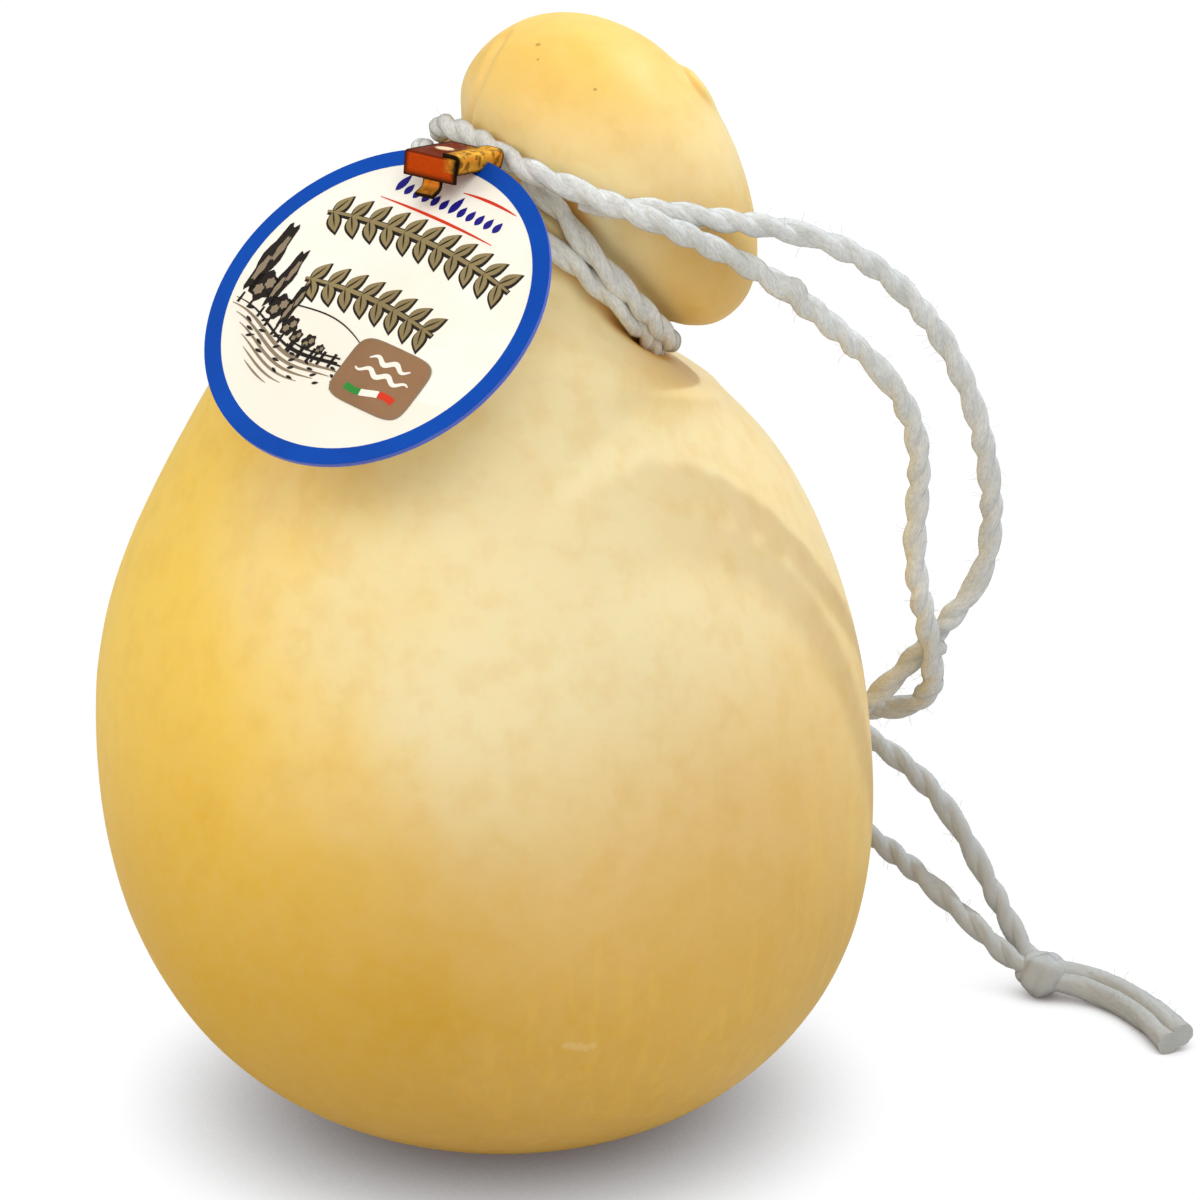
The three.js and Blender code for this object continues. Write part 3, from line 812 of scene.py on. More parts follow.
@dataclass
class TwineMaker:
    """Sweeps a two-ply twisted section along a route, and lays loose fibres on it, by Geometry Nodes."""

    ply_radius: float = 1.56
    ply_offset: float = 0.62
    pitch: float = 15.5
    uneven: float = 0.26
    ring_gap: float = 0.55
    section_points: int = 40
    # the scale and detail of the slow wandering of the twist and of the lumps
    wander: tuple[Span, Span] = ((0.045, 1.0), (0.16, 2.0))
    bundle_relief: float = 0.5
    fibre_density: float = 90000.0
    fibre_length: float = 2.2
    fibre_radius: float = 0.035
    fibre_lean: Place = (1.25, 1.25, 3.1)
    floor_gap: float = 0.05

    def __post_init__(self) -> None:
        """Build the two node trees and the finish."""
        self.finish = CottonFinish().material()
        self.twist_tree = self.build_twist_tree()
        self.fibre_tree = self.build_fibre_tree()

    def build_twist_tree(self) -> bpy.types.NodeTree:
        """Build the tree that turns a curve into twisted twine.

        Returns:
            The tree.
        """
        nodes, given, result = new_group(
            "twisted_twine", "GeometryNodeTree",
            {"Geometry": ("NodeSocketGeometry", None),
             "Ply Radius": ("NodeSocketFloat", self.ply_radius * MM),
             "Ply Offset": ("NodeSocketFloat", self.ply_offset * MM),
             "Pitch": ("NodeSocketFloat", self.pitch * MM),
             "Ring Gap": ("NodeSocketFloat", self.ring_gap * MM), "Uneven": ("NodeSocketFloat", self.uneven),
             "Flare": ("NodeSocketFloat", 0.0), "Start Turn": ("NodeSocketFloat", 0.0),
             "Seed": ("NodeSocketFloat", 0.0), "Finish": ("NodeSocketMaterial", None)},
            {"Geometry": "NodeSocketGeometry"},
        )
        out = given.outputs
        rings = nodes.add("GeometryNodeResampleCurve",
                          {"Curve": out["Geometry"], "Length": out["Ring Gap"]}, mode="LENGTH")
        along = nodes.add("GeometryNodeSplineParameter")
        length = along.outputs["Length"]
        millimetres = nodes.times(length, 1 / MM)
        place = nodes.add("ShaderNodeCombineXYZ", {0: millimetres, 1: out["Seed"]}).outputs[0]
        slow, lumps = (
            nodes.add("ShaderNodeTexNoise",
                      {"Vector": place, "Scale": scale, "Detail": detail}).outputs["Fac"]
            for scale, detail in self.wander)
        turn = nodes.plus(nodes.math("DIVIDE", length, out["Pitch"]), nodes.times(slow, 0.9))
        tilt = nodes.times(nodes.plus(turn, out["Start Turn"]), math.tau)
        flare = nodes.times(nodes.math("POWER", along.outputs["Factor"], 3.0), out["Flare"])
        swell = nodes.times(nodes.minus(lumps, 0.5), out["Uneven"])
        radius = nodes.plus(nodes.plus(1.0, nodes.times(swell, 2.0)), flare)
        tilted = nodes.add("GeometryNodeSetCurveTilt", {"Curve": rings.outputs[0], "Tilt": tilt})
        sized = nodes.add("GeometryNodeSetCurveRadius", {"Curve": tilted.outputs[0], "Radius": radius})
        route = nodes.add("GeometryNodeCaptureAttribute", {"Geometry": sized.outputs[0]}, domain="POINT")
        route.capture_items.new("FLOAT", "Along")
        route.capture_items.new("FLOAT", "Tilt")
        nodes.link(length, route.inputs["Along"])
        nodes.link(tilt, route.inputs["Tilt"])

        circle = nodes.add("GeometryNodeCurvePrimitiveCircle",
                           {"Resolution": self.section_points, "Radius": 1.0})
        spot = nodes.add("GeometryNodeInputPosition").outputs[0]
        section = nodes.add("GeometryNodeCaptureAttribute", {"Geometry": circle.outputs[0]}, domain="POINT")
        section.capture_items.new("VECTOR", "Round")
        nodes.link(spot, section.inputs["Round"])
        apart = nodes.add("ShaderNodeSeparateXYZ", {0: section.outputs["Round"]})
        reach = nodes.times(out["Ply Offset"], nodes.math("ABSOLUTE", apart.outputs["X"]))
        aside = nodes.times(out["Ply Offset"], apart.outputs["Y"])
        rest = nodes.minus(nodes.times(out["Ply Radius"], out["Ply Radius"]),
                          nodes.times(aside, aside))
        reach = nodes.plus(reach, nodes.math("SQRT", rest))
        outline = nodes.add("ShaderNodeVectorMath", {0: section.outputs["Round"], "Scale": reach},
                            operation="SCALE")
        shaped = nodes.add("GeometryNodeSetPosition", {"Geometry": section.outputs["Geometry"],
                                                       "Position": outline.outputs["Vector"]})
        swept = nodes.add("GeometryNodeCurveToMesh", {"Curve": route.outputs["Geometry"],
                                                      "Profile Curve": shaped.outputs[0], "Fill Caps": True})

        half = nodes.times(route.outputs["Tilt"], 0.4)
        spun = nodes.add("ShaderNodeVectorRotate",
                         {"Vector": section.outputs["Round"], "Axis": (0, 0, 1), "Angle": half},
                         rotation_type="AXIS_ANGLE")
        parts = nodes.add("ShaderNodeSeparateXYZ", {0: spun.outputs[0]})
        lay = nodes.add("ShaderNodeCombineXYZ", {
            0: route.outputs["Along"], 1: parts.outputs["X"], 2: parts.outputs["Y"]}).outputs[0]
        marked = nodes.add("GeometryNodeStoreNamedAttribute",
                           {"Geometry": swept.outputs[0], "Name": FIBRE_ATTRIBUTE, "Value": lay},
                           data_type="FLOAT_VECTOR", domain="POINT")
        stretched = nodes.add("ShaderNodeVectorMath", {0: lay, 1: (260.0, 3.0, 3.0)}, operation="MULTIPLY")
        bundle = nodes.add("ShaderNodeTexNoise", {
            "Vector": stretched.outputs["Vector"], "Scale": 1.0, "Detail": 3.0})
        rise = nodes.times(nodes.minus(bundle.outputs["Fac"], 0.5), self.bundle_relief * MM)
        outwards = nodes.add("GeometryNodeInputNormal").outputs[0]
        push = nodes.add("ShaderNodeVectorMath", {0: outwards, "Scale": rise}, operation="SCALE")
        rough = nodes.add("GeometryNodeSetPosition",
                          {"Geometry": marked.outputs[0], "Offset": push.outputs["Vector"]})
        smooth = nodes.add("GeometryNodeSetShadeSmooth", {"Geometry": rough.outputs[0]})
        return self.finish_tree(nodes, smooth.outputs[0], out["Finish"], result)

    @staticmethod
    def finish_tree(nodes: Nodes, geometry: Socket, finish: Socket,
                    result: bpy.types.Node) -> bpy.types.NodeTree:
        """End a tree by realizing its instances and giving them their material.

        Args:
            nodes: the tree's node maker.
            geometry: what it has made.
            finish: the material.
            result: its output node.

        Returns:
            The tree.
        """
        real = nodes.add("GeometryNodeRealizeInstances", {"Geometry": geometry})
        dressed = nodes.add("GeometryNodeSetMaterial", {"Geometry": real.outputs[0], "Material": finish})
        nodes.link(dressed.outputs[0], result.inputs[0])
        return nodes.tree

    def build_fibre_tree(self) -> bpy.types.NodeTree:
        """Build the tree that lays short loose fibres on the twine.

        Returns:
            The tree.
        """
        nodes, given, result = new_group(
            "loose_fibres", "GeometryNodeTree",
            {"Geometry": ("NodeSocketGeometry", None), "Density": ("NodeSocketFloat", self.fibre_density),
             "Length": ("NodeSocketFloat", self.fibre_length * MM),
             "Thickness": ("NodeSocketFloat", self.fibre_radius * MM),
             "Seed": ("NodeSocketInt", 4), "Finish": ("NodeSocketMaterial", None)},
            {"Geometry": "NodeSocketGeometry"},
        )
        out = given.outputs
        spots = nodes.add("GeometryNodeDistributePointsOnFaces",
                          {"Mesh": out["Geometry"], "Density": out["Density"], "Seed": out["Seed"]})
        tip = nodes.add("ShaderNodeCombineXYZ", {0: nodes.times(out["Length"], 0.35), 2: out["Length"]})
        waist = nodes.add("ShaderNodeCombineXYZ", {0: nodes.times(out["Length"], -0.1),
                                                   2: nodes.times(out["Length"], 0.55)})
        bow = nodes.add("GeometryNodeCurveQuadraticBezier", {
            "Resolution": 4, "Start": (0, 0, 0), "Middle": waist.outputs[0], "End": tip.outputs[0]})
        ring = nodes.add("GeometryNodeCurvePrimitiveCircle", {"Resolution": 3, "Radius": out["Thickness"]})
        hair = nodes.add("GeometryNodeCurveToMesh", {
            "Curve": bow.outputs[0], "Profile Curve": ring.outputs[0], "Fill Caps": True})
        least = tuple(-value for value in self.fibre_lean)
        lean = nodes.add("FunctionNodeRandomValue", {0: least, 1: self.fibre_lean, "Seed": out["Seed"]},
                         data_type="FLOAT_VECTOR")
        stance = nodes.add("FunctionNodeAlignRotationToVector", {"Vector": spots.outputs["Normal"]}, axis="Z")
        leaning_turn = nodes.add("FunctionNodeEulerToRotation", {0: lean.outputs[0]})
        spun = nodes.add("FunctionNodeRotateRotation", {0: stance.outputs[0], 1: leaning_turn.outputs[0]},
                         rotation_space="LOCAL")
        scale = nodes.add("FunctionNodeRandomValue", {2: 0.35, 3: 1.0, "Seed": 9}, data_type="FLOAT")
        placed = nodes.add("GeometryNodeInstanceOnPoints", {
            "Points": spots.outputs[0], "Instance": hair.outputs[0], "Rotation": spun.outputs[0],
            "Scale": scale.outputs[1]})
        return self.finish_tree(nodes, placed.outputs[0], out["Finish"], result)

    @staticmethod
    def run_tree(carrier: bpy.types.Object, tree: bpy.types.NodeTree, name: str,
                 **values: Value) -> bpy.types.Object:
        """Run a tree on an object and keep its result as a plain mesh.

        Args:
            carrier: the object whose geometry goes in. It is removed afterwards.
            tree: the tree.
            name: the name of the result.
            values: the tree's inputs, with underscores for spaces.

        Returns:
            The new mesh object.
        """
        modifier = carrier.modifiers.new(tree.name, "NODES")
        modifier.node_group = tree
        for item in tree.interface.items_tree:
            if item.item_type == "SOCKET" and item.in_out == "INPUT":
                key = item.name.replace(" ", "_").lower()
                if key in values:
                    modifier[item.identifier] = values[key]
        bpy.context.view_layer.update()
        evaluated = carrier.evaluated_get(bpy.context.evaluated_depsgraph_get())
        mesh = bpy.data.meshes.new_from_object(evaluated)
        mesh.name = name
        bpy.data.objects.remove(carrier)
        return linked_object(name, mesh)

    def twine(self, name: str, route: Points, closed: bool = False, **values: Value) -> bpy.types.Object:
        """Make a length of twisted twine.

        Args:
            name: its name.
            route: the dense points of its middle line, in millimetres.
            closed: whether it is a loop.
            values: inputs of the tree that differ from its own values, such as flare.

        Returns:
            The twine.
        """
        curve = bpy.data.curves.new(name + "_route", "CURVE")
        curve.dimensions = "3D"
        spline = curve.splines.new("POLY")
        spline.points.add(len(route) - 1)
        spline.points.foreach_set("co", np.column_stack([route * MM, np.ones(len(route))]).ravel())
        spline.use_cyclic_u = closed
        carrier = linked_object(curve.name, curve)
        made = self.run_tree(carrier, self.twist_tree, name, finish=self.finish, **values)
        self.dress(made)
        return made

    @staticmethod
    def swell(made: bpy.types.Object, route: Points, knobs: Sequence[Sequence[float]]) -> None:
        """Swell a length of twine round a few places where it is knobby.

        Args:
            made: the twine.
            route: its middle line, in millimetres.
            knobs: the place of each knob, how far it stands out and how wide it is.
        """
        skin = np.array([vertex.co for vertex in made.data.vertices]) / MM
        nearest = distance_to(route, skin)[1]
        outwards = skin - route[nearest]
        outwards /= np.maximum(np.linalg.norm(outwards, axis=1), 1e-6)[:, None]
        for x, y, z, height, spread in knobs:
            near = np.exp(-(np.linalg.norm(skin - (x, y, z), axis=1) / spread) ** 4)
            skin = skin + outwards * (height * near)[:, None]
        made.data.vertices.foreach_set("co", (skin * MM).ravel())

    def dress(self, made: bpy.types.Object) -> None:
        """Give a piece of twine its finish, its outward faces and its body, and flatten it on the floor."""
        for vertex in made.data.vertices:
            vertex.co.z = max(vertex.co.z, self.floor_gap * MM)
        face_outwards(made)
        made.data.materials.clear()
        made.data.materials.append(self.finish)
        made.data.polygons.foreach_set("material_index", [0] * len(made.data.polygons))
        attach(made, BODY)

    def loose_fibres(self, name: str, lengths: Sequence[bpy.types.Object]) -> bpy.types.Object:
        """Lay loose fibres on several lengths of twine.

        Args:
            name: the name of the piece that holds them all.
            lengths: the twine that they lie on.

        Returns:
            The fibres.
        """
        work = bmesh.new()
        for made in lengths:
            work.from_mesh(made.data)
        carrier_mesh = bpy.data.meshes.new(name + "_ground")
        work.to_mesh(carrier_mesh)
        work.free()
        carrier = linked_object(carrier_mesh.name, carrier_mesh)
        made = self.run_tree(carrier, self.fibre_tree, name, finish=self.finish)
        self.dress(made)
        return made


@dataclass
class HangingTwine:
    """All the twine: two turns round the neck, two free strands, the knot and its two cut ends."""

    maker: TwineMaker
    knot_centre: Place = (103.1, 44.6, 4.5)
    knot_half: Place = (5.2, 5.1, 4.3)
    knot_along: Place = (0.7, -0.71, 0.0)
    knot_noise: float = 0.75
    tail_start: Place = (105.0, 43.9, 4.6)
    tail_closing: float = 0.62

    def route_of(self, rows: Sequence[Sequence[float]]) -> Points:
        """Return the dense middle line of a free strand, which runs on into the knot."""
        middle = np.array(self.knot_centre)
        return smooth_route([*rows, middle + (np.array(rows[-1]) - middle) * 0.35])

    def build_knot(self) -> bpy.types.Object:
        """Model the knot: a small pebble whose skin is ridged by the wraps of twine.

        Returns:
            The knot.
        """
        along = unit(self.knot_along)
        aside = np.cross((0, 0, 1), along)
        upwards = np.array([0.0, 0.0, 1.0])
        rings = 49
        sides = 72
        tilt = np.linspace(0, math.pi, rings + 2)[1:-1]
        angle = np.linspace(0, math.tau, sides, endpoint=False)
        tilts, angles = (grid.ravel() for grid in np.meshgrid(tilt, angle, indexing="ij"))
        share = np.cos(tilts)
        wrap = (1.35 * share + angles / math.tau + 0.12 * np.sin(2 * angles)) % 1
        ridge = np.sqrt(np.clip(1 - (2 * wrap - 1) ** 2, 0, 1))
        from_lump = np.mod(angles - 1.9, math.tau) - math.pi
        lump = np.exp(-((share - 0.25) / 0.3) ** 2) * np.exp(-(from_lump / 0.6) ** 2)
        swell = 0.88 + 0.13 * ridge * np.sin(tilts) + 0.05 * np.sin(3 * angles + 4 * share) + 0.12 * lump
        half = np.array(self.knot_half)
        places = (np.array(self.knot_centre)
                  + np.outer(share * half[0] * (0.94 + 0.06 * ridge), along)
                  + (np.sin(tilts) * np.cos(angles) * swell * half[1])[:, None] * aside
                  + (np.sin(tilts) * np.sin(angles) * np.minimum(swell, 1.02) * half[2])[:, None] * upwards)
        bumps = np.array([[noise.noise(Vector(place) * 0.3 + Vector((shift, 0, 0))) for shift in (0, 20, 40)]
                          for place in places])
        places = places + self.knot_noise * bumps * np.sin(tilts)[:, None]
        ends = [np.array(self.knot_centre) + along * half[0], np.array(self.knot_centre) - along * half[0]]
        knot = mesh_object("twine_knot_wraps", np.vstack([places, ends]), skin_faces(rings, sides))
        lay = knot.data.attributes.new(FIBRE_ATTRIBUTE, "FLOAT_VECTOR", "POINT")
        across = math.tau * np.append(wrap, [0.0, 0.0])
        round_angle = np.append(angles, [0.0, 0.0]) * 0.02
        rows = np.column_stack([round_angle, 2.2 * np.cos(across), 2.2 * np.sin(across)])
        lay.data.foreach_set("vector", rows.astype(np.float32).ravel())
        self.maker.dress(knot)
        return knot

    def build_tail(self, name: str, aside: float, rise: float, seed: float) -> bpy.types.Object:
        """Make one cut end beyond the knot.

        Args:
            name: its name.
            aside: how far it lies from the middle line of the pair.
            rise: how far it lies above it.
            seed: what its lumps are drawn from.

        Returns:
            The cut end.
        """
        line = np.vstack([[self.tail_start], TAIL_LINE])
        side = np.column_stack([sideways(line[:, :2]), np.zeros(len(line))])
        parting = self.tail_closing + (1 - self.tail_closing) * np.arange(len(line)) / (len(line) - 1)
        route = line + side * (aside * parting)[:, None] + (0, 0, rise)
        return self.maker.twine(name, smooth_route(route), seed=seed, **END_TWINE)

    def build(self) -> list[bpy.types.Object]:
        """Returns:
            The pieces.
        """
        lower_route = self.route_of(LOWER_STRAND)
        upper = self.maker.twine("twine_upper_strand", self.route_of(UPPER_STRAND),
                                 seed=3.0, start_turn=0.1, flare=-0.12)
        lower = self.maker.twine("twine_lower_strand", lower_route, seed=11.0, start_turn=0.3, flare=-0.12)
        self.maker.swell(lower, lower_route, KNOBS)
        knot = self.build_knot()
        tails = [self.build_tail("twine_end_back", aside=1.4, rise=0.6, seed=21.0),
                 self.build_tail("twine_end_front", aside=-1.4, rise=-0.7, seed=27.0)]
        low_turn = self.maker.twine("twine_lower_turn", smooth_route(turn_points(LOWER_TURN), closed=True),
                                    closed=True, seed=33.0, **TURN_TWINE)
        high_turn = self.maker.twine("twine_upper_turn", smooth_route(turn_points(UPPER_TURN)),
                                     seed=41.0, **TURN_TWINE)
        pieces = [upper, lower, knot, *tails, low_turn, high_turn]
        nodes = ("twine_upper", "twine_lower", "twine_knot", "twine_tail_a", "twine_tail_b",
                 "twine_turn_lower", "twine_turn_upper")
        for piece, node in zip(pieces, nodes):
            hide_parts(node)
        fibres = self.maker.loose_fibres("twine_loose_fibres", [upper, lower, *tails])
        return [*pieces, fibres]


# ---- the cheese -----------------------------------------------------------------------------------

@dataclass
class Cheese:
    """The cheese in one piece: rings along a bent spine, with the marks that the twine and hands left.

    The driving sizes are those of the CAD model, apart from the nub, which stands out more here, and the
    skin has far more rings.
    """

    foot_radius: float = 22.0
    belly_radius: float = 70.4
    belly_at: float = 64.6
    throat_radius: float = 40.9
    throat_below_neck: float = 15.7
    neck_radius: float = 24.5
    groove: tuple[float, float] = (-3.0, 3.2)
    head_radius: float = 32.2
    head_widest: float = 16.4
    head_height: float = 38.6
    crown_lean: float = math.radians(61.4)
    start_pull: Place = (1.1, 0.0, 45.3)
    neck_pull: float = 34.5
    lean_starts: float = 100.2
    lean_power: float = 3.0
    bed_radius: float = 2.58
    bed_lip: float = 0.35
    bed_lip_at: float = 1.2
    bed_deepest: float = 6.0
    bed_tint_reach: float = 0.9
    nub_at: Place = (35.3, 6.6, 191.0)
    nub_height: float = 3.3
    nub_spread: float = 4.1
    nub_ring: float = 0.24
    fold_depth: float = 0.6
    fold_lip: float = 0.25
    step_height: float = 0.3
    rolling: float = 0.45
    dimpling: float = 0.06
    sides: int = 300
    # where a fold runs over the left of the head, and a soft step down the body's left: places picked in
    # the photo, which a scratch ray cast put on the skin
    head_fold: tuple[Place, ...] = (
        (1.2, 7.9, 199.8), (-1.4, 3.1, 196.7), (-3.1, 0.7, 192.8), (-4.6, 1.7, 189.0), (-5.7, 4.2, 184.7),
    )
    body_step: tuple[Place, ...] = (
        (-37.8, -30.9, 140.9), (-38.8, -34.2, 135.2), (-40.1, -36.5, 130.9), (-41.1, -39.2, 126.4),
        (-42.1, -41.6, 121.8), (-42.7, -43.7, 118.0), (-43.0, -46.0, 112.0),
    )

    def spine(self) -> tuple[Points, Points, float]:
        """Work out the spine.

        Returns:
            The corners of the body's curve, those of the head's, and the distance from foot to neck.
        """
        axis = leaning(NECK_LEAN)
        neck = np.array(NECK_CENTRE)
        body = np.array([(0, 0, 0), self.start_pull, neck - axis * self.neck_pull, neck])
        elbow = neck + axis * self.head_height / 2
        head = np.array([neck, elbow, elbow + leaning(self.crown_lean) * self.head_height / 2])
        return body, head, float(arc_table(bezier(body, np.linspace(0, 1, CURVE_SHARES)))[-1])

    def outline(self, neck_at: float) -> Points:
        """Return the outline as rows of radius and distance along the spine.

        Args:
            neck_at: the distance from foot to neck.

        Returns:
            The rows, from the middle of the foot to just short of the crown.
        """
        belly, throat, neck, head = self.belly_radius, self.throat_radius, self.neck_radius, self.head_radius
        throat_at = neck_at - self.throat_below_neck
        groove_from, groove_to = (neck_at + edge for edge in self.groove)
        widest_at = neck_at + self.head_widest
        crown_at = neck_at + self.head_height
        foot = np.column_stack([np.linspace(2.5, self.foot_radius, 8), np.zeros(8)])
        curves = (
            ([(self.foot_radius, 0), (28.2, 0.9), (belly, self.belly_at - 53.8), (belly, self.belly_at)], 74),
            ([(belly, self.belly_at), (belly, self.belly_at + 52),
              (throat + 3.6, throat_at - 17.3), (throat, throat_at)], 78),
            ([(throat, throat_at), (throat - 1.3, throat_at + 6.1),
              (neck, groove_from - 5), (neck, groove_from)], 30),
            ([(neck, groove_from), (neck, groove_to)], 8),
            ([(neck, groove_to), (neck, groove_to + 3), (head, widest_at - 10.4), (head, widest_at)], 26),
            ([(head, widest_at), (head, widest_at + 16.6), (6.4, crown_at), (0, crown_at)], 46),
        )
        rows = [foot]
        for corners, steps in curves:
            rows.append(even_bezier(corners, steps)[1:])
        return np.vstack(rows)[:-1]

    def frames(self, distances: Points) -> tuple[Points, Points]:
        """Return the middle of each ring and the direction that its angle 0 has.

        Args:
            distances: where the rings are, along the spine.

        Returns:
            The middles and the directions.
        """
        body, head, neck_at = self.spine()
        shares = np.linspace(0, 1, CURVE_SHARES)
        body_line = bezier(body, shares)
        head_line = bezier(head, shares)
        body_along = arc_table(body_line)
        head_along = arc_table(head_line)
        up = np.clip((distances - neck_at) / self.head_height, 0, 1)
        down = np.minimum(distances, neck_at) / neck_at
        below = bezier(body, np.interp(down * body_along[-1], body_along, shares))
        above = bezier(head, np.interp(up * head_along[-1], head_along, shares))
        centres = np.where((distances <= neck_at)[:, None], below, above)
        past = np.clip((distances - self.lean_starts) / (neck_at - self.lean_starts), 0, 1)
        lean = NECK_LEAN * past ** self.lean_power + (self.crown_lean - NECK_LEAN) * up
        axes = np.array([leaning(angle) for angle in lean])
        return centres, np.cross(self.across(), axes)

    @staticmethod
    def across() -> Points:
        """Return the level direction square to the lean."""
        return np.array([-math.sin(LEAN_AZIMUTH), math.cos(LEAN_AZIMUTH), 0.0])

    def press_in(self, points: Points, inwards: Points) -> tuple[Points, Points]:
        """Press the beds of the two turns into the skin and let it swell beside them.

        Args:
            points: the skin.
            inwards: the unit direction into the cheese at each point.

        Returns:
            The skin with its beds sunk in, and how close each point is to twine, from 0 to 1.
        """
        touch = np.zeros(len(points))
        for rows, closed in ((LOWER_TURN, True), (UPPER_TURN, False)):
            line = smooth_route(turn_points(rows), closed=closed)
            gap, nearest = distance_to(line, points)
            away = points - line[nearest]
            facing = -(away * inwards).sum(axis=1)
            depth = facing + np.sqrt(np.clip(facing ** 2 - gap ** 2 + self.bed_radius ** 2, 0, None))
            inside = gap < self.bed_radius
            swell = self.bed_lip * np.exp(-(gap - self.bed_radius - self.bed_lip_at) ** 2)
            points = points + inwards * np.where(inside, np.clip(depth, 0, self.bed_deepest), -swell)[:, None]
            beside = np.clip(gap - self.bed_radius, 0, None) / self.bed_tint_reach
            touch = np.maximum(touch, np.exp(-beside ** 2))
        return points, touch

    def build(self) -> bpy.types.Object:
        """Model the cheese and hide the CAD node that it stands for.

        Returns:
            The cheese.
        """
        _, _, neck_at = self.spine()
        rows = self.outline(neck_at)
        centres, downs = self.frames(rows[:, 1])
        angle = np.linspace(0, math.tau, self.sides, endpoint=False)
        outwards = (np.cos(angle)[None, :, None] * downs[:, None, :]
                    + np.sin(angle)[None, :, None] * self.across()[None, None, :])
        skin = (centres[:, None, :] + rows[:, 0][:, None, None] * outwards).reshape(-1, 3)
        outwards = outwards.reshape(-1, 3)
        on_foot = np.repeat(rows[:, 1] <= 0, self.sides)
        near_foot = np.clip(skin[:, 2] / 12, 0, 1)

        from_nub = np.linalg.norm(skin - np.array(self.nub_at), axis=1) / self.nub_spread
        hollow = self.nub_ring * self.nub_height * np.exp(-((from_nub - 2.0) / 0.75) ** 2)
        rise = self.nub_height * np.exp(-from_nub ** 3) - hollow
        rolling = np.array([noise.noise(Vector(point) * 0.028) for point in skin]) * self.rolling
        shift = Vector((40, 0, 0))
        dimples = np.array([noise.noise(Vector(point) * 0.16 + shift) for point in skin]) * self.dimpling
        skin = skin + outwards * (rise + (rolling + dimples) * near_foot)[:, None]

        head_line = smooth_route(self.head_fold)
        gap, _ = distance_to(head_line, skin)
        fold = np.exp(-(gap / 0.9) ** 2)
        lip = np.exp(-((gap - 2.2) / 1.4) ** 2)
        step_line = smooth_route(self.body_step)
        step_gap, nearest = distance_to(step_line, skin)
        to_left = np.sign(step_line[nearest][:, 0] - skin[:, 0])
        step = np.exp(-(step_gap / 2.4) ** 2)
        marks = self.fold_depth * fold - self.fold_lip * lip + self.step_height * step * to_left
        skin = skin - outwards * marks[:, None]
        skin, touch = self.press_in(skin, -outwards)
        skin[on_foot, 2] = 0.0

        crown, _ = self.frames(np.array([neck_at + self.head_height]))
        cheese = mesh_object("cheese_skin", np.vstack([skin, [(0, 0, 0)], crown]),
                             skin_faces(len(rows), self.sides))
        # closeness to the twine, kept for the painted contact shade beside the turns
        point_attribute(cheese, TWINE_SHADE_ATTRIBUTE, np.append(touch, [0, 0]))
        # painted shade along the head's fold and painted shadow on the right of the body's step
        creased = np.maximum(fold, 0.5 * step * (to_left < 0))
        point_attribute(cheese, FOLD_STEP_SHADE_ATTRIBUTE, np.append(creased, [0, 0]))
        face_outwards(cheese)
        cheese.data.materials.append(RindFinish().material())
        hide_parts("cheese")
        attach(cheese, BODY)
        return cheese


# ---- the card -------------------------------------------------------------------------------------

class Ink(Enum):
    """The printed colours, each with its shade."""

    BLUE = ((0, 76, 178), (0, 62, 160))
    # the card's edge: the print's blue, lightened by a painted highlight
    EDGE = ((92, 112, 205), (70, 92, 190))
    BRONZE = ((154, 136, 94), (128, 110, 74))
    DARK = ((36, 30, 26), (58, 48, 40))
    SEPIA = ((150, 132, 108), (104, 88, 70))
    WASH = ((251, 243, 226), (253, 247, 234))
    NAVY = ((30, 24, 130), (44, 40, 140))
    RED = ((222, 62, 34), (196, 44, 26))
    BROWN = ((156, 118, 84), (132, 98, 70))
    CREAM = ((250, 246, 232), (240, 232, 214))
    GREEN = ((58, 150, 62), (44, 126, 50))


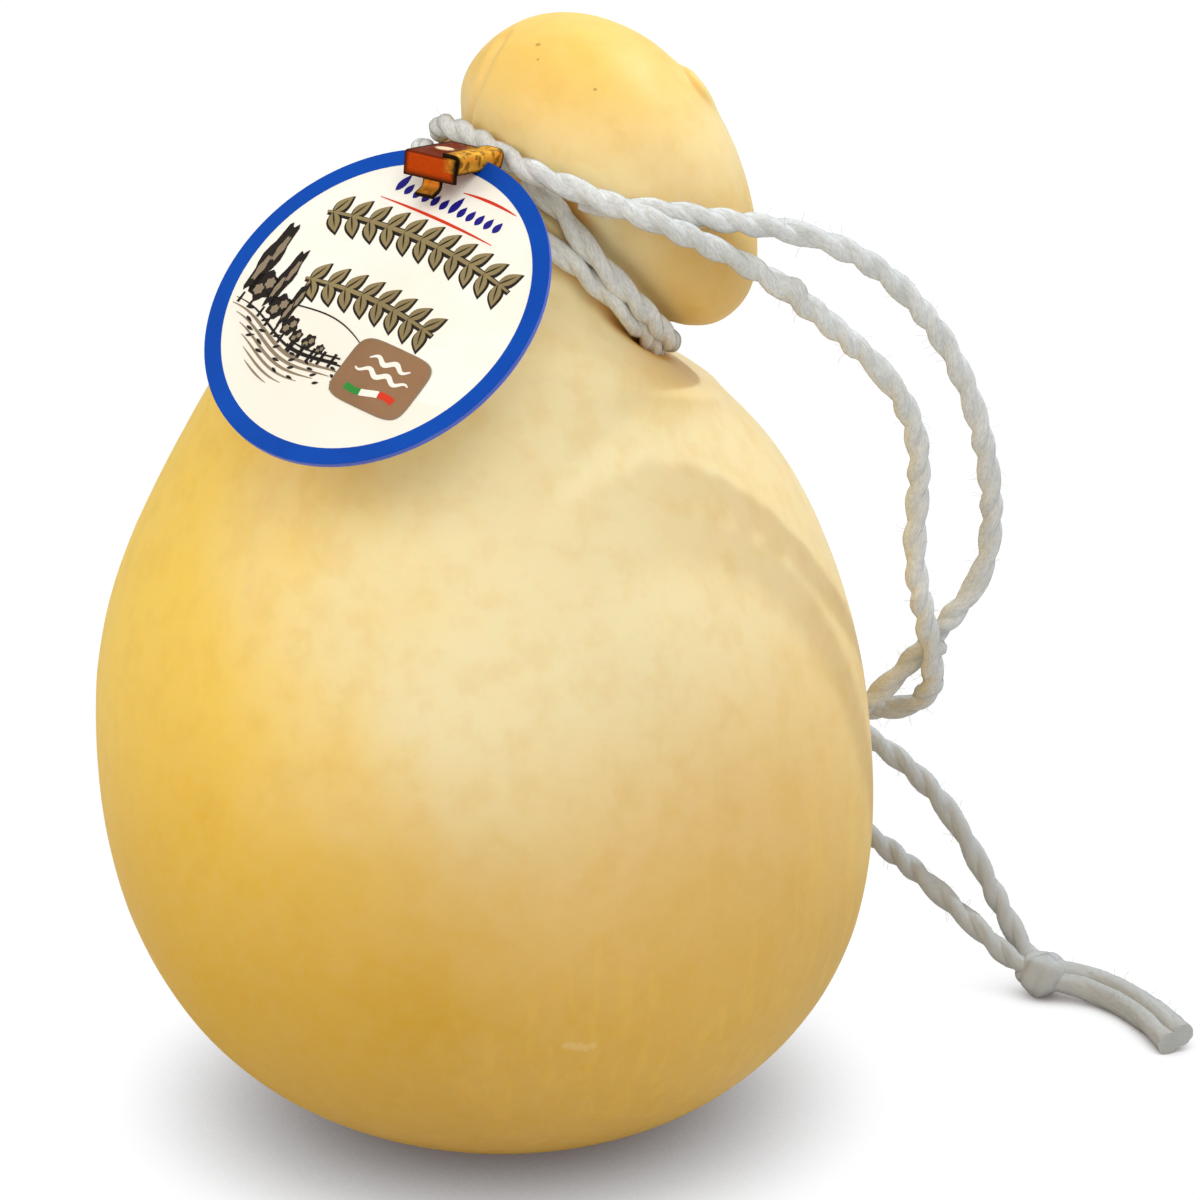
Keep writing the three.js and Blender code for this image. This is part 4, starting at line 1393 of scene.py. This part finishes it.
@dataclass
class Card:
    """The round card: its CAD solid with a paper finish, and the print as thin layers of ink on it.

    Shapes are drawn in the card's own plane, in millimetres from its middle, with y towards the clip.
    """

    radius: float = 32.0
    thickness: float = 0.9
    centre: Place = (-20.4, -34.9, 163.5)
    normal: Place = (-0.369, -0.557, 0.743)
    up: Place = (0.423, 0.611, 0.668)
    ring_width: float = 3.1
    layer_height: float = 0.028
    edge_cover: float = 0.04
    print_turn: float = -11.0
    # the angles between which the ring is seen, and those between which the clip hides it
    ring_ends: Span = (101.5, 438.5)
    hidden_ends: Span = (78.5, 101.5)

    def __post_init__(self) -> None:
        """Start with no print."""
        self.work = bmesh.new()
        self.inks: list[Ink] = []

    @property
    def field_radius(self) -> float:
        """The radius of the print inside the ring."""
        return self.radius - self.ring_width

    def layer(self, ink: Ink, level: int, outline: Sequence[Sequence[float]],
              low: float | None = None) -> None:
        """Print one shape as a thin closed solid.

        Args:
            ink: its colour.
            level: how many layers lie under it.
            outline: its corners, anticlockwise.
            low: the height of its underside, or None for just below the card's face.
        """
        if ink not in self.inks:
            self.inks.append(ink)
        rim = turned(outline, 0.0 if ink in (Ink.BLUE, Ink.EDGE) else self.print_turn)
        top = self.thickness / 2 + self.layer_height * (level + 1)
        low = self.thickness / 2 - 0.02 if low is None else low
        upper = [self.work.verts.new((x * MM, y * MM, top * MM)) for x, y in rim]
        lower = [self.work.verts.new((x * MM, y * MM, low * MM)) for x, y in rim]
        faces = [self.work.faces.new(upper), self.work.faces.new(lower[::-1])]
        for i in range(len(rim)):
            j = (i + 1) % len(rim)
            faces.append(self.work.faces.new((lower[i], lower[j], upper[j], upper[i])))
        for face in faces:
            face.material_index = self.inks.index(ink)

    @staticmethod
    def arc(radius: float, start: float, end: float, steps: int) -> Points:
        """Return points of a circle round the card's middle, with the angles in degrees."""
        angle = np.radians(np.linspace(start, end, steps))
        return np.column_stack([radius * np.cos(angle), radius * np.sin(angle)])

    def band(self, ink: Ink, level: int, line: Points, width: float, taper: float = 1.0) -> None:
        """Print a stroke along a line.

        Args:
            ink: its colour.
            level: how many layers lie under it.
            line: its middle line.
            width: its width in the middle.
            taper: the width at its ends, as a share of that.
        """
        side = sideways(line)
        share = np.linspace(-1, 1, len(line))
        half = width / 2 * (taper + (1 - taper) * (1 - share ** 2))
        left = line + side * half[:, None]
        right = line - side * half[:, None]
        self.layer(ink, level, np.vstack([right, left[::-1]]))

    def leaf(self, ink: Ink, level: int, foot: Points, angle: float, length: float, width: float,
             grow: float = 0.0) -> None:
        """Print one pointed leaf.

        Args:
            ink: its colour.
            level: how many layers lie under it.
            foot: where its stalk is.
            angle: where it points, in degrees.
            length: from foot to tip.
            width: at its widest.
            grow: how much larger it is drawn all round, for an outline.
        """
        share = np.linspace(0, 1, 9)
        half = (width / 2 + grow) * np.sin(math.pi * share ** 0.8)
        along = (length + 2 * grow) * share - grow
        edge = np.vstack([np.column_stack([along, -half]), np.column_stack([along[-2:0:-1], half[-2:0:-1]])])
        self.layer(ink, level, turned(edge, angle) + foot)

    def hills(self, ink: Ink, level: int, skyline: Callable[[Points], Points]) -> None:
        """Print the ground below a skyline, out to the ring.

        Args:
            ink: its colour.
            level: how many layers lie under it.
            skyline: the height of the ground at each place across.
        """
        reach = self.field_radius + 0.4
        across = np.linspace(-reach, reach, 400)
        height = skyline(across)
        inside = across ** 2 + height ** 2 < reach ** 2
        across, height = across[inside][::8], height[inside][::8]
        start = math.degrees(math.atan2(height[0], across[0])) % 360
        end = math.degrees(math.atan2(height[-1], across[-1])) % 360
        start = start - 360 if start > end else start
        under = self.arc(reach, start, end, 40)[1:-1]
        line = np.column_stack([across, height])
        self.layer(ink, level, np.vstack([under, line[::-1]]))

    def print_ring(self) -> None:
        """Print the blue ring round the field, with a gap under the clip, and colour the card's edge a
        lighter blue: the print's blue with a painted highlight.
        """
        rim = self.radius + self.edge_cover
        outer = self.arc(rim, *self.ring_ends, 120)
        inner = self.arc(self.field_radius, *self.ring_ends, 120)
        self.layer(Ink.BLUE, 2, np.vstack([outer, inner[::-1]]))
        hidden = self.arc(self.radius - 1.8, *self.hidden_ends, 12)
        under = self.arc(self.field_radius, *self.hidden_ends, 12)
        self.layer(Ink.BLUE, 2, np.vstack([hidden, under[::-1]]))
        edge_inner = self.arc(self.radius - 0.02, *self.ring_ends, 120)
        self.layer(Ink.EDGE, 1, np.vstack([outer, edge_inner[::-1]]), low=-self.thickness / 2)

    def inside(self, line: Points, margin: float) -> Points:
        """Return the part of a line that lies in the field, a margin from the ring."""
        return line[np.hypot(line[:, 0], line[:, 1]) < self.field_radius - margin]

    def print_trees(self, ground: Callable[[Points], Points]) -> None:
        """Print a dark stand of round and tall trees on the left.

        Args:
            ground: the height of the ground at each place across.
        """
        stand = ((-25.2, 2.0, 8.5), (-22.6, 2.9, 3.4), (-19.6, 1.5, 7.0), (-17.0, 2.4, 2.8),
                 (-14.6, 1.2, 5.2), (-12.4, 1.8, 2.2), (-9.8, 1.3, 1.6), (-6.8, 1.5, 1.8), (-3.8, 1.0, 1.2))
        for x, half, high in stand:
            foot = float(ground(np.array([x]))[0])
            low, high_up = foot - 0.8, foot + 1.4
            self.layer(Ink.DARK, 2, [(x - 0.3, low), (x + 0.3, low), (x + 0.2, high_up), (x - 0.2, high_up)])
            angle = np.linspace(0, math.tau, 26, endpoint=False)
            lobes = 0.88 + 0.12 * np.cos(6 * angle + x)
            middle = np.array([x, foot + 0.7 + high])
            crown = np.column_stack([half * lobes * np.cos(angle), high * lobes * np.sin(angle)])
            self.layer(Ink.DARK, 3, crown + middle)
            for part, (side, lift) in enumerate(((0.3, 0.25), (-0.15, -0.3))):
                self.layer(Ink.SEPIA, 4 + part, crown * 0.36 + middle + (half * side, high * lift))

    def print_pasture(self) -> None:
        """Print the sepia pasture: pale hills, furrows, trees and a fence, which fade out to the right."""
        def far(x: Points) -> Points:
            """Return the height of the far hills."""
            return -8.0 + 1.8 * np.sin(x * 0.17 + 2.2) - 0.16 * x

        def near(x: Points) -> Points:
            """Return the height of the near ground."""
            return -13.5 + 1.3 * np.sin(x * 0.22 + 0.4) - 0.12 * x

        self.hills(Ink.WASH, 0, far)
        for step in range(6):
            line_x = np.linspace(-26 + 2.0 * step, 4 - 2.6 * step, 40)
            line = np.column_stack([line_x, near(line_x) - 1.2 - 1.25 * step])
            self.band(Ink.SEPIA, 3, self.inside(line, 0.4), 0.7 - 0.07 * step, 0.15)
        for step in range(26):
            x = -23.0 + 1.15 * step + 0.5 * math.sin(7.0 * step)
            foot = np.array([x, float(near(np.array([x]))[0]) - 0.7 - 1.3 * (step * 5 % 4)])
            if np.hypot(*foot) < self.field_radius - 2.2:
                self.leaf(Ink.DARK, 4, foot, 8 + 30 * math.sin(5.0 * step), 1.9 - 0.03 * step, 0.55)
        skyline_x = np.linspace(-26, 8, 60)
        for ground, width in ((far, 0.28), (near, 0.5)):
            line = np.column_stack([skyline_x, ground(skyline_x)])
            self.band(Ink.DARK, 3, self.inside(line, 0.3), width, 0.2)
        self.print_trees(near)
        for post in range(5):
            x = -9.5 + 2.3 * post
            foot = float(near(np.array([x]))[0])
            low, high = foot - 0.9, foot + 1.9
            self.layer(Ink.DARK, 6, [(x, low), (x + 0.5, low), (x + 0.5, high), (x, high)])
        rail_x = np.linspace(-10.4, 1.2, 24)
        for lift in (0.3, 1.2):
            self.band(Ink.DARK, 6, np.column_stack([rail_x, near(rail_x) + lift]), 0.3)

    def print_garlands(self) -> None:
        """Print two bronze garlands of leaves with dark outlines."""
        for middle, half_width, sag, count in (((0.2, 11.9), 21.6, 2.2, 11), ((-1.0, -0.9), 15.2, 1.4, 8)):
            stem_x = np.linspace(-half_width, half_width, 40)
            stem = np.column_stack([stem_x, sag * (1 - (stem_x / half_width) ** 2)]) + middle
            self.band(Ink.DARK, 0, stem + (0.2, -0.2), 1.7, 0.6)
            self.band(Ink.BRONZE, 2, stem, 0.85, 0.5)
            for step in range(count):
                x = -half_width + 2 * half_width * (step + 0.3) / count
                foot = np.array([x, sag * (1 - (x / half_width) ** 2)]) + middle
                slope = math.degrees(math.atan(-2 * sag * x / half_width ** 2))
                for turn in (58, -58):
                    self.leaf(Ink.DARK, 0, foot + (0.22, -0.24), slope + turn, 4.5, 2.2, 0.4)
                    self.leaf(Ink.BRONZE, 1, foot, slope + turn, 4.5, 2.2)
                    self.leaf(Ink.DARK, 3, foot, slope + turn, 3.4, 0.28)

    def print_drops(self) -> None:
        """Print two thin red strokes with a row of dark blue drops between them."""
        for height, start, end in ((25.0, 0.8, 13.2), (18.3, -13.7, 12.7)):
            line_x = np.linspace(start, end, 30)
            share = (line_x - start) / (end - start)
            self.band(Ink.RED, 2, np.column_stack([line_x, height + 1.6 * share * (1 - share)]), 0.55, 0.2)
        for step in range(12):
            x = -11.6 + 2.1 * step
            size = 4.0 if step in (0, 6) else 2.5
            self.leaf(Ink.NAVY, 2, np.array([x - 0.3, 20.4]), 76, size, 1.15 + 0.1 * size)

    def print_plaque(self) -> None:
        """Print the brown plaque with two cream strokes and a three-coloured ribbon."""
        angle = np.linspace(0, math.tau, 48, endpoint=False)
        half_x, half_y, middle = 8.4, 6.2, np.array([10.9, -11.8])
        corner = np.sign(np.cos(angle)) * np.abs(np.cos(angle)) ** 0.4
        rise = np.sign(np.sin(angle)) * np.abs(np.sin(angle)) ** 0.4
        plate = np.column_stack([half_x * corner, half_y * rise])
        self.layer(Ink.SEPIA, 6, plate * 1.03 + middle)
        self.layer(Ink.BROWN, 7, plate + middle)
        for lift, reach, width in ((3.0, 4.6, 1.0), (0.4, 6.0, 1.0)):
            line_x = np.linspace(-reach, reach, 30)
            line = np.column_stack([line_x, lift + 0.5 * np.sin(line_x * 1.5)]) + middle
            self.band(Ink.CREAM, 8, line, width, 0.25)
        for part, ink in enumerate((Ink.GREEN, Ink.CREAM, Ink.RED)):
            line_x = np.linspace(-5.4 + 3.6 * part, -1.8 + 3.6 * part, 10)
            line = np.column_stack([line_x, -3.2 + 0.6 * np.sin(line_x * 0.5)]) + middle
            self.band(ink, 8, line, 1.3)

    def build(self, nodes: dict[str, bpy.types.Object]) -> bpy.types.Object:
        """Dress the card and print on it.

        Args:
            nodes: the CAD nodes by name.

        Returns:
            The print.
        """
        paper = CardFinish("card_paper", (255, 250, 238), (252, 240, 216)).material()
        card = nodes["label"]
        for slot in range(max(1, len(card.material_slots))):
            card.data.materials[slot] = paper
        self.print_ring()
        self.print_pasture()
        self.print_garlands()
        self.print_drops()
        self.print_plaque()
        bmesh.ops.recalc_face_normals(self.work, faces=self.work.faces)
        bmesh.ops.triangulate(self.work, faces=self.work.faces)
        mesh = bpy.data.meshes.new("label_print")
        self.work.to_mesh(mesh)
        self.work.free()
        normal = unit(self.normal)
        right = unit(np.cross(self.up, normal))
        upwards = np.cross(normal, right)
        place = Matrix(np.column_stack([right, upwards, normal]).tolist()).to_4x4()
        place.translation = Vector(self.centre) * MM
        mesh.transform(place)
        made = linked_object("label_print", mesh)
        for ink in self.inks:
            colour, shade = ink.value
            made.data.materials.append(CardFinish(f"ink_{ink.name.lower()}", colour, shade, 0.34).material())
        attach(made, BODY)
        return made


# ---- the clip -------------------------------------------------------------------------------------

@dataclass
class Clip:
    """The clip that holds the card to the twine: a bent strip with an oval boss, a folded edge and a tongue.

    Its own axes are across, back and up, with the middle of its top plate as the origin.
    """

    top: Place = (-7.5, -17.8, 186.1)
    across: Place = (0.79, -0.613, -0.012)
    back: Place = (0.611, 0.786, -0.099)
    width: float = 11.2
    depth: float = 12.7
    drop: float = 4.3
    sheet: float = 0.7
    bend: float = 0.75
    lip: float = 2.6
    boss: Place = (-1.0, -1.2, 0.4)
    boss_half: Span = (2.7, 2.0)
    tongue_from: float = -1.3
    tongue_width: float = 3.8
    cell: float = 0.35

    def strip(self, line: Points, sides: tuple[float, float], columns: int,
              tarnish_reach: float = 1.0) -> tuple[Points, list[list[int]], Points]:
        """Make a sheet-metal strip that follows a line in the plane of back and up.

        Args:
            line: its outer face, as rows of back and up, from its far end to its near one.
            sides: where its left and right edges are, across.
            columns: how many cells it has across.
            tarnish_reach: how far from an edge the metal is dark.

        Returns:
            Its vertices, its faces, and the tarnish and the painted highlight at each vertex.
        """
        inward = sideways(line)
        along = arc_table(line)
        across = np.linspace(*sides, columns + 1)
        layers = []
        for depth in (0.0, self.sheet):
            place = line + inward * depth
            layers.append(np.array([[(x, back, up) for x in across] for back, up in place]))
        boss_x, boss_y, boss_height = self.boss
        reach = np.hypot((layers[0][..., 0] - boss_x) / self.boss_half[0],
                         (layers[0][..., 1] - boss_y) / self.boss_half[1])
        on_top = layers[0][..., 2] > -0.05
        layers[0][..., 2] += boss_height * on_top / (1 + reach ** 6)
        # a painted highlight on the boss
        worn = on_top * np.clip((0.72 - reach) / 0.16, 0, 0.9)
        to_side = np.minimum(np.abs(layers[0][..., 0] - sides[0]), np.abs(layers[0][..., 0] - sides[1]))
        to_end = np.minimum(along, along[-1] - along)[:, None] + 0 * to_side
        dark = np.clip(1.15 - np.minimum(to_side, to_end) / tarnish_reach, 0, 1)
        rows, cells = layers[0].shape[:2]
        count = rows * cells
        faces = []
        for i in range(rows - 1):
            for j in range(cells - 1):
                a = i * cells + j
                faces.append([a, a + 1, a + cells + 1, a + cells])
                faces.append([count + a + cells, count + a + cells + 1, count + a + 1, count + a])
        rim = ([(0, j) for j in range(cells)] + [(i, cells - 1) for i in range(1, rows)]
               + [(rows - 1, j) for j in range(cells - 2, -1, -1)] + [(i, 0) for i in range(rows - 2, 0, -1)])
        loop = [i * cells + j for i, j in rim]
        for a, b in zip(loop, loop[1:] + loop[:1]):
            faces.append([a, count + a, count + b, b])
        vertices = np.vstack([layer.reshape(-1, 3) for layer in layers])
        return vertices, faces, np.column_stack([np.tile(dark.ravel(), 2), np.tile(worn.ravel(), 2)])

    def bent(self, corners: Sequence[Sequence[float]]) -> Points:
        """Round the inner corners of a line with the bend radius.

        Args:
            corners: its corners, as rows of back and up.

        Returns:
            The rounded line, divided into cells.
        """
        rows = [np.array(corners[0], float)]
        for before, corner, after in zip(corners, corners[1:], corners[2:]):
            corner = np.array(corner, float)
            into = corner - unit(corner - before) * self.bend
            away = corner + unit(np.array(after) - corner) * self.bend
            rows.extend(bezier([into, corner, away], np.linspace(0, 1, 6)))
        rows.append(np.array(corners[-1], float))
        line = np.array(rows)
        along = arc_table(line)
        even = np.union1d(along, np.arange(0, along[-1], self.cell))
        return np.column_stack([np.interp(even, along, line[:, axis]) for axis in range(2)])

    def build(self) -> bpy.types.Object:
        """Model the clip and hide the CAD node that it stands for.

        Returns:
            The clip.
        """
        half = self.width / 2
        front = -self.depth / 2
        across = unit(self.across)
        up = unit(np.cross(across, self.back))
        back = np.cross(up, across)
        body = self.bent([(self.depth / 2, 0), (front, 0), (front, -self.drop)])
        tongue = self.bent([(front + 0.1, -self.drop + 0.5), (front + 0.1, -self.drop - 1.2),
                            (front - 1.9, -self.drop - 2.2)])
        tongue_sides = (self.tongue_from, self.tongue_from + self.tongue_width)
        parts = [self.strip(body, (-half, half), columns=30),
                 self.strip(tongue, tongue_sides, columns=10, tarnish_reach=0.16)]
        fold_line = self.bent([(half - 3.2, -0.02), (half + 0.05, -0.02), (half - 0.5, -self.lip)])
        fold_sides = (front + 0.4, self.depth / 2 - 0.2)
        fold_vertices, fold_faces, fold_dark = self.strip(
            fold_line, fold_sides, columns=26, tarnish_reach=0.5)
        fold_dark[:, 1] = 0
        # painted shade in the hollow corner inside the fold, laid into the tarnish mark
        hollow = np.clip((-fold_vertices[:, 1] - 0.7) / 0.5, 0, 1) * (fold_vertices[:, 0] < 1.5)
        fold_dark[:, 0] = np.maximum(fold_dark[:, 0], 0.9 * hollow)
        parts.append((fold_vertices[:, [1, 0, 2]], fold_faces, fold_dark))
        parts[1][2][:, 1] = 0
        vertices, faces, dark = [], [], []
        start = 0
        for part_vertices, part_faces, part_dark in parts:
            vertices.append(part_vertices)
            dark.append(part_dark)
            faces.extend([[index + start for index in face] for face in part_faces])
            start += len(part_vertices)
        local = np.vstack(vertices)
        placed = np.array(self.top) + local @ np.array([across, back, up])
        clip = mesh_object("clip_metal", placed, faces)
        marks = np.vstack(dark)
        gilt = np.clip((local[:, 0] + 0.35 * local[:, 1] - 0.6) / 2.6, 0, 1) * (local[:, 2] > -2.6)
        gilt = np.maximum(gilt, 0.5 * (local[:, 2] < -self.drop - 0.1))
        point_attribute(clip, EDGE_ATTRIBUTE, marks[:, 0])
        point_attribute(clip, BOSS_HIGHLIGHT_ATTRIBUTE, marks[:, 1])
        point_attribute(clip, GILT_ATTRIBUTE, gilt)
        face_outwards(clip)
        clip.data.materials.append(ClipFinish().material())
        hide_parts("clip")
        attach(clip, BODY)
        return clip


# ---- the studio -----------------------------------------------------------------------------------

@dataclass(frozen=True)
class Lamp:
    """A rectangular soft light, placed by its direction from the cheese."""

    name: str
    azimuth: float
    elevation: float
    distance: float
    size: tuple[float, float]
    watts: float
    colour: Colour = (255, 255, 255)


@dataclass
class Studio:
    """The camera, the lights and the pale floor.

    The lamps' distances and sizes are in metres, and so is how far a contact shadow reaches.
    """

    target: Place = (17.65, 0.0, 97.5)
    camera_distance: float = 1000.0
    camera_elevation: float = 20.0
    focal_length: float = 166.5
    sensor: float = 36.0
    floor_half: float = 6.0
    floor_seen: Colour = (255, 255, 255)
    floor_shadow: Colour = (84, 72, 66)
    floor_bounce: float = 0.66
    floor_glow: float = 1.02
    shadow_reach: float = 0.034
    shadow_span: Span = (-0.06, 0.84)
    world_light: float = 0.6
    lamps: tuple[Lamp, ...] = (
        Lamp("key_back_right", azimuth=136, elevation=48, distance=1.3, size=(0.04, 0.04), watts=9.2,
             colour=(214, 234, 255)),
        Lamp("softbox_front", azimuth=12, elevation=52, distance=1.2, size=(0.9, 0.7), watts=4.9),
        Lamp("fill_left", azimuth=-75, elevation=30, distance=1.4, size=(0.8, 0.8), watts=4.2,
             colour=(255, 250, 240)),
    )

    @staticmethod
    def direction(azimuth: float, elevation: float) -> Vector:
        """Return the unit direction from the cheese: azimuth 0 is towards the viewer, 90 to the right."""
        turn, lift = math.radians(azimuth), math.radians(elevation)
        return Vector((math.sin(turn) * math.cos(lift), -math.cos(turn) * math.cos(lift), math.sin(lift)))

    def aim(self, made: bpy.types.Object, place: Vector) -> None:
        """Put an object at a place and point it at the target."""
        made.location = place
        made.rotation_euler = (Vector(self.target) * MM - place).to_track_quat("-Z", "Y").to_euler()

    def build_camera(self) -> None:
        """Make the scene's camera."""
        data = bpy.data.cameras.new("camera")
        data.lens = self.focal_length
        data.sensor_width = self.sensor
        data.clip_end = 50
        camera = linked_object("camera", data)
        away = self.direction(0, self.camera_elevation) * (self.camera_distance * MM)
        self.aim(camera, Vector(self.target) * MM + away)
        bpy.context.scene.camera = camera

    def build_floor(self) -> None:
        """Make the floor: plain to the camera, with a soft contact shadow, and pale to every other ray."""
        half = self.floor_half / MM
        corners = [(-half, -half, 0), (half, -half, 0), (half, half, 0), (-half, half, 0)]
        floor = mesh_object("floor", corners, [[0, 1, 2, 3]], smooth=False)
        material, nodes, shader = new_material("floor", Roughness=0.9, Specular_IOR_Level=0.0)
        open_air = nodes.add("ShaderNodeAmbientOcclusion", {"Distance": self.shadow_reach}, samples=16)
        seen = nodes.mix(nodes.ramp(open_air.outputs["AO"], *self.shadow_span),
                         srgb(*self.floor_shadow), srgb(*self.floor_seen))
        by_camera = nodes.add("ShaderNodeLightPath").outputs["Is Camera Ray"]
        bounce = (self.floor_bounce, self.floor_bounce, self.floor_bounce, 1.0)
        diffuse = nodes.add("ShaderNodeBsdfDiffuse", {"Color": bounce})
        glow = nodes.add("ShaderNodeEmission", {"Color": seen, "Strength": self.floor_glow})
        split = nodes.add("ShaderNodeMixShader", {0: by_camera, 1: diffuse.outputs[0], 2: glow.outputs[0]})
        nodes.link(split.outputs[0], nodes.tree.nodes["Material Output"].inputs["Surface"])
        nodes.tree.nodes.remove(shader)
        floor.data.materials.append(material)

    def build_lights(self) -> None:
        """Make the lamps and the even light of the room."""
        for lamp in self.lamps:
            data = bpy.data.lights.new(lamp.name, "AREA")
            data.shape = "RECTANGLE"
            data.size, data.size_y = lamp.size
            data.energy = lamp.watts
            data.color = srgb(*lamp.colour)[:3]
            made = linked_object(lamp.name, data)
            away = self.direction(lamp.azimuth, lamp.elevation) * lamp.distance
            self.aim(made, Vector(self.target) * MM + away)
        world = bpy.data.worlds.new("room")
        world.use_nodes = True
        background = world.node_tree.nodes["Background"]
        background.inputs["Color"].default_value = (1.0, 1.0, 1.0, 1.0)
        background.inputs["Strength"].default_value = self.world_light
        bpy.context.scene.world = world

    def build(self) -> None:
        """Make everything that isn't part of the object."""
        self.build_camera()
        self.build_floor()
        self.build_lights()
        bpy.context.scene.view_settings.view_transform = "Standard"


def main() -> None:
    """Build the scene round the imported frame, the camera and the cords first."""
    logging.basicConfig(level=logging.INFO, format="%(message)s")
    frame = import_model()
    build_effects()
    Studio().build()
    pieces = HangingTwine(TwineMaker()).build()
    pieces.append(Cheese().build())
    pieces.append(Card().build(frame["nodes"]))
    pieces.append(Clip().build())
    for piece in pieces:
        LOG.info("built %s with %d faces", piece.name, len(piece.data.polygons))


if __name__ == "__main__":
    main()
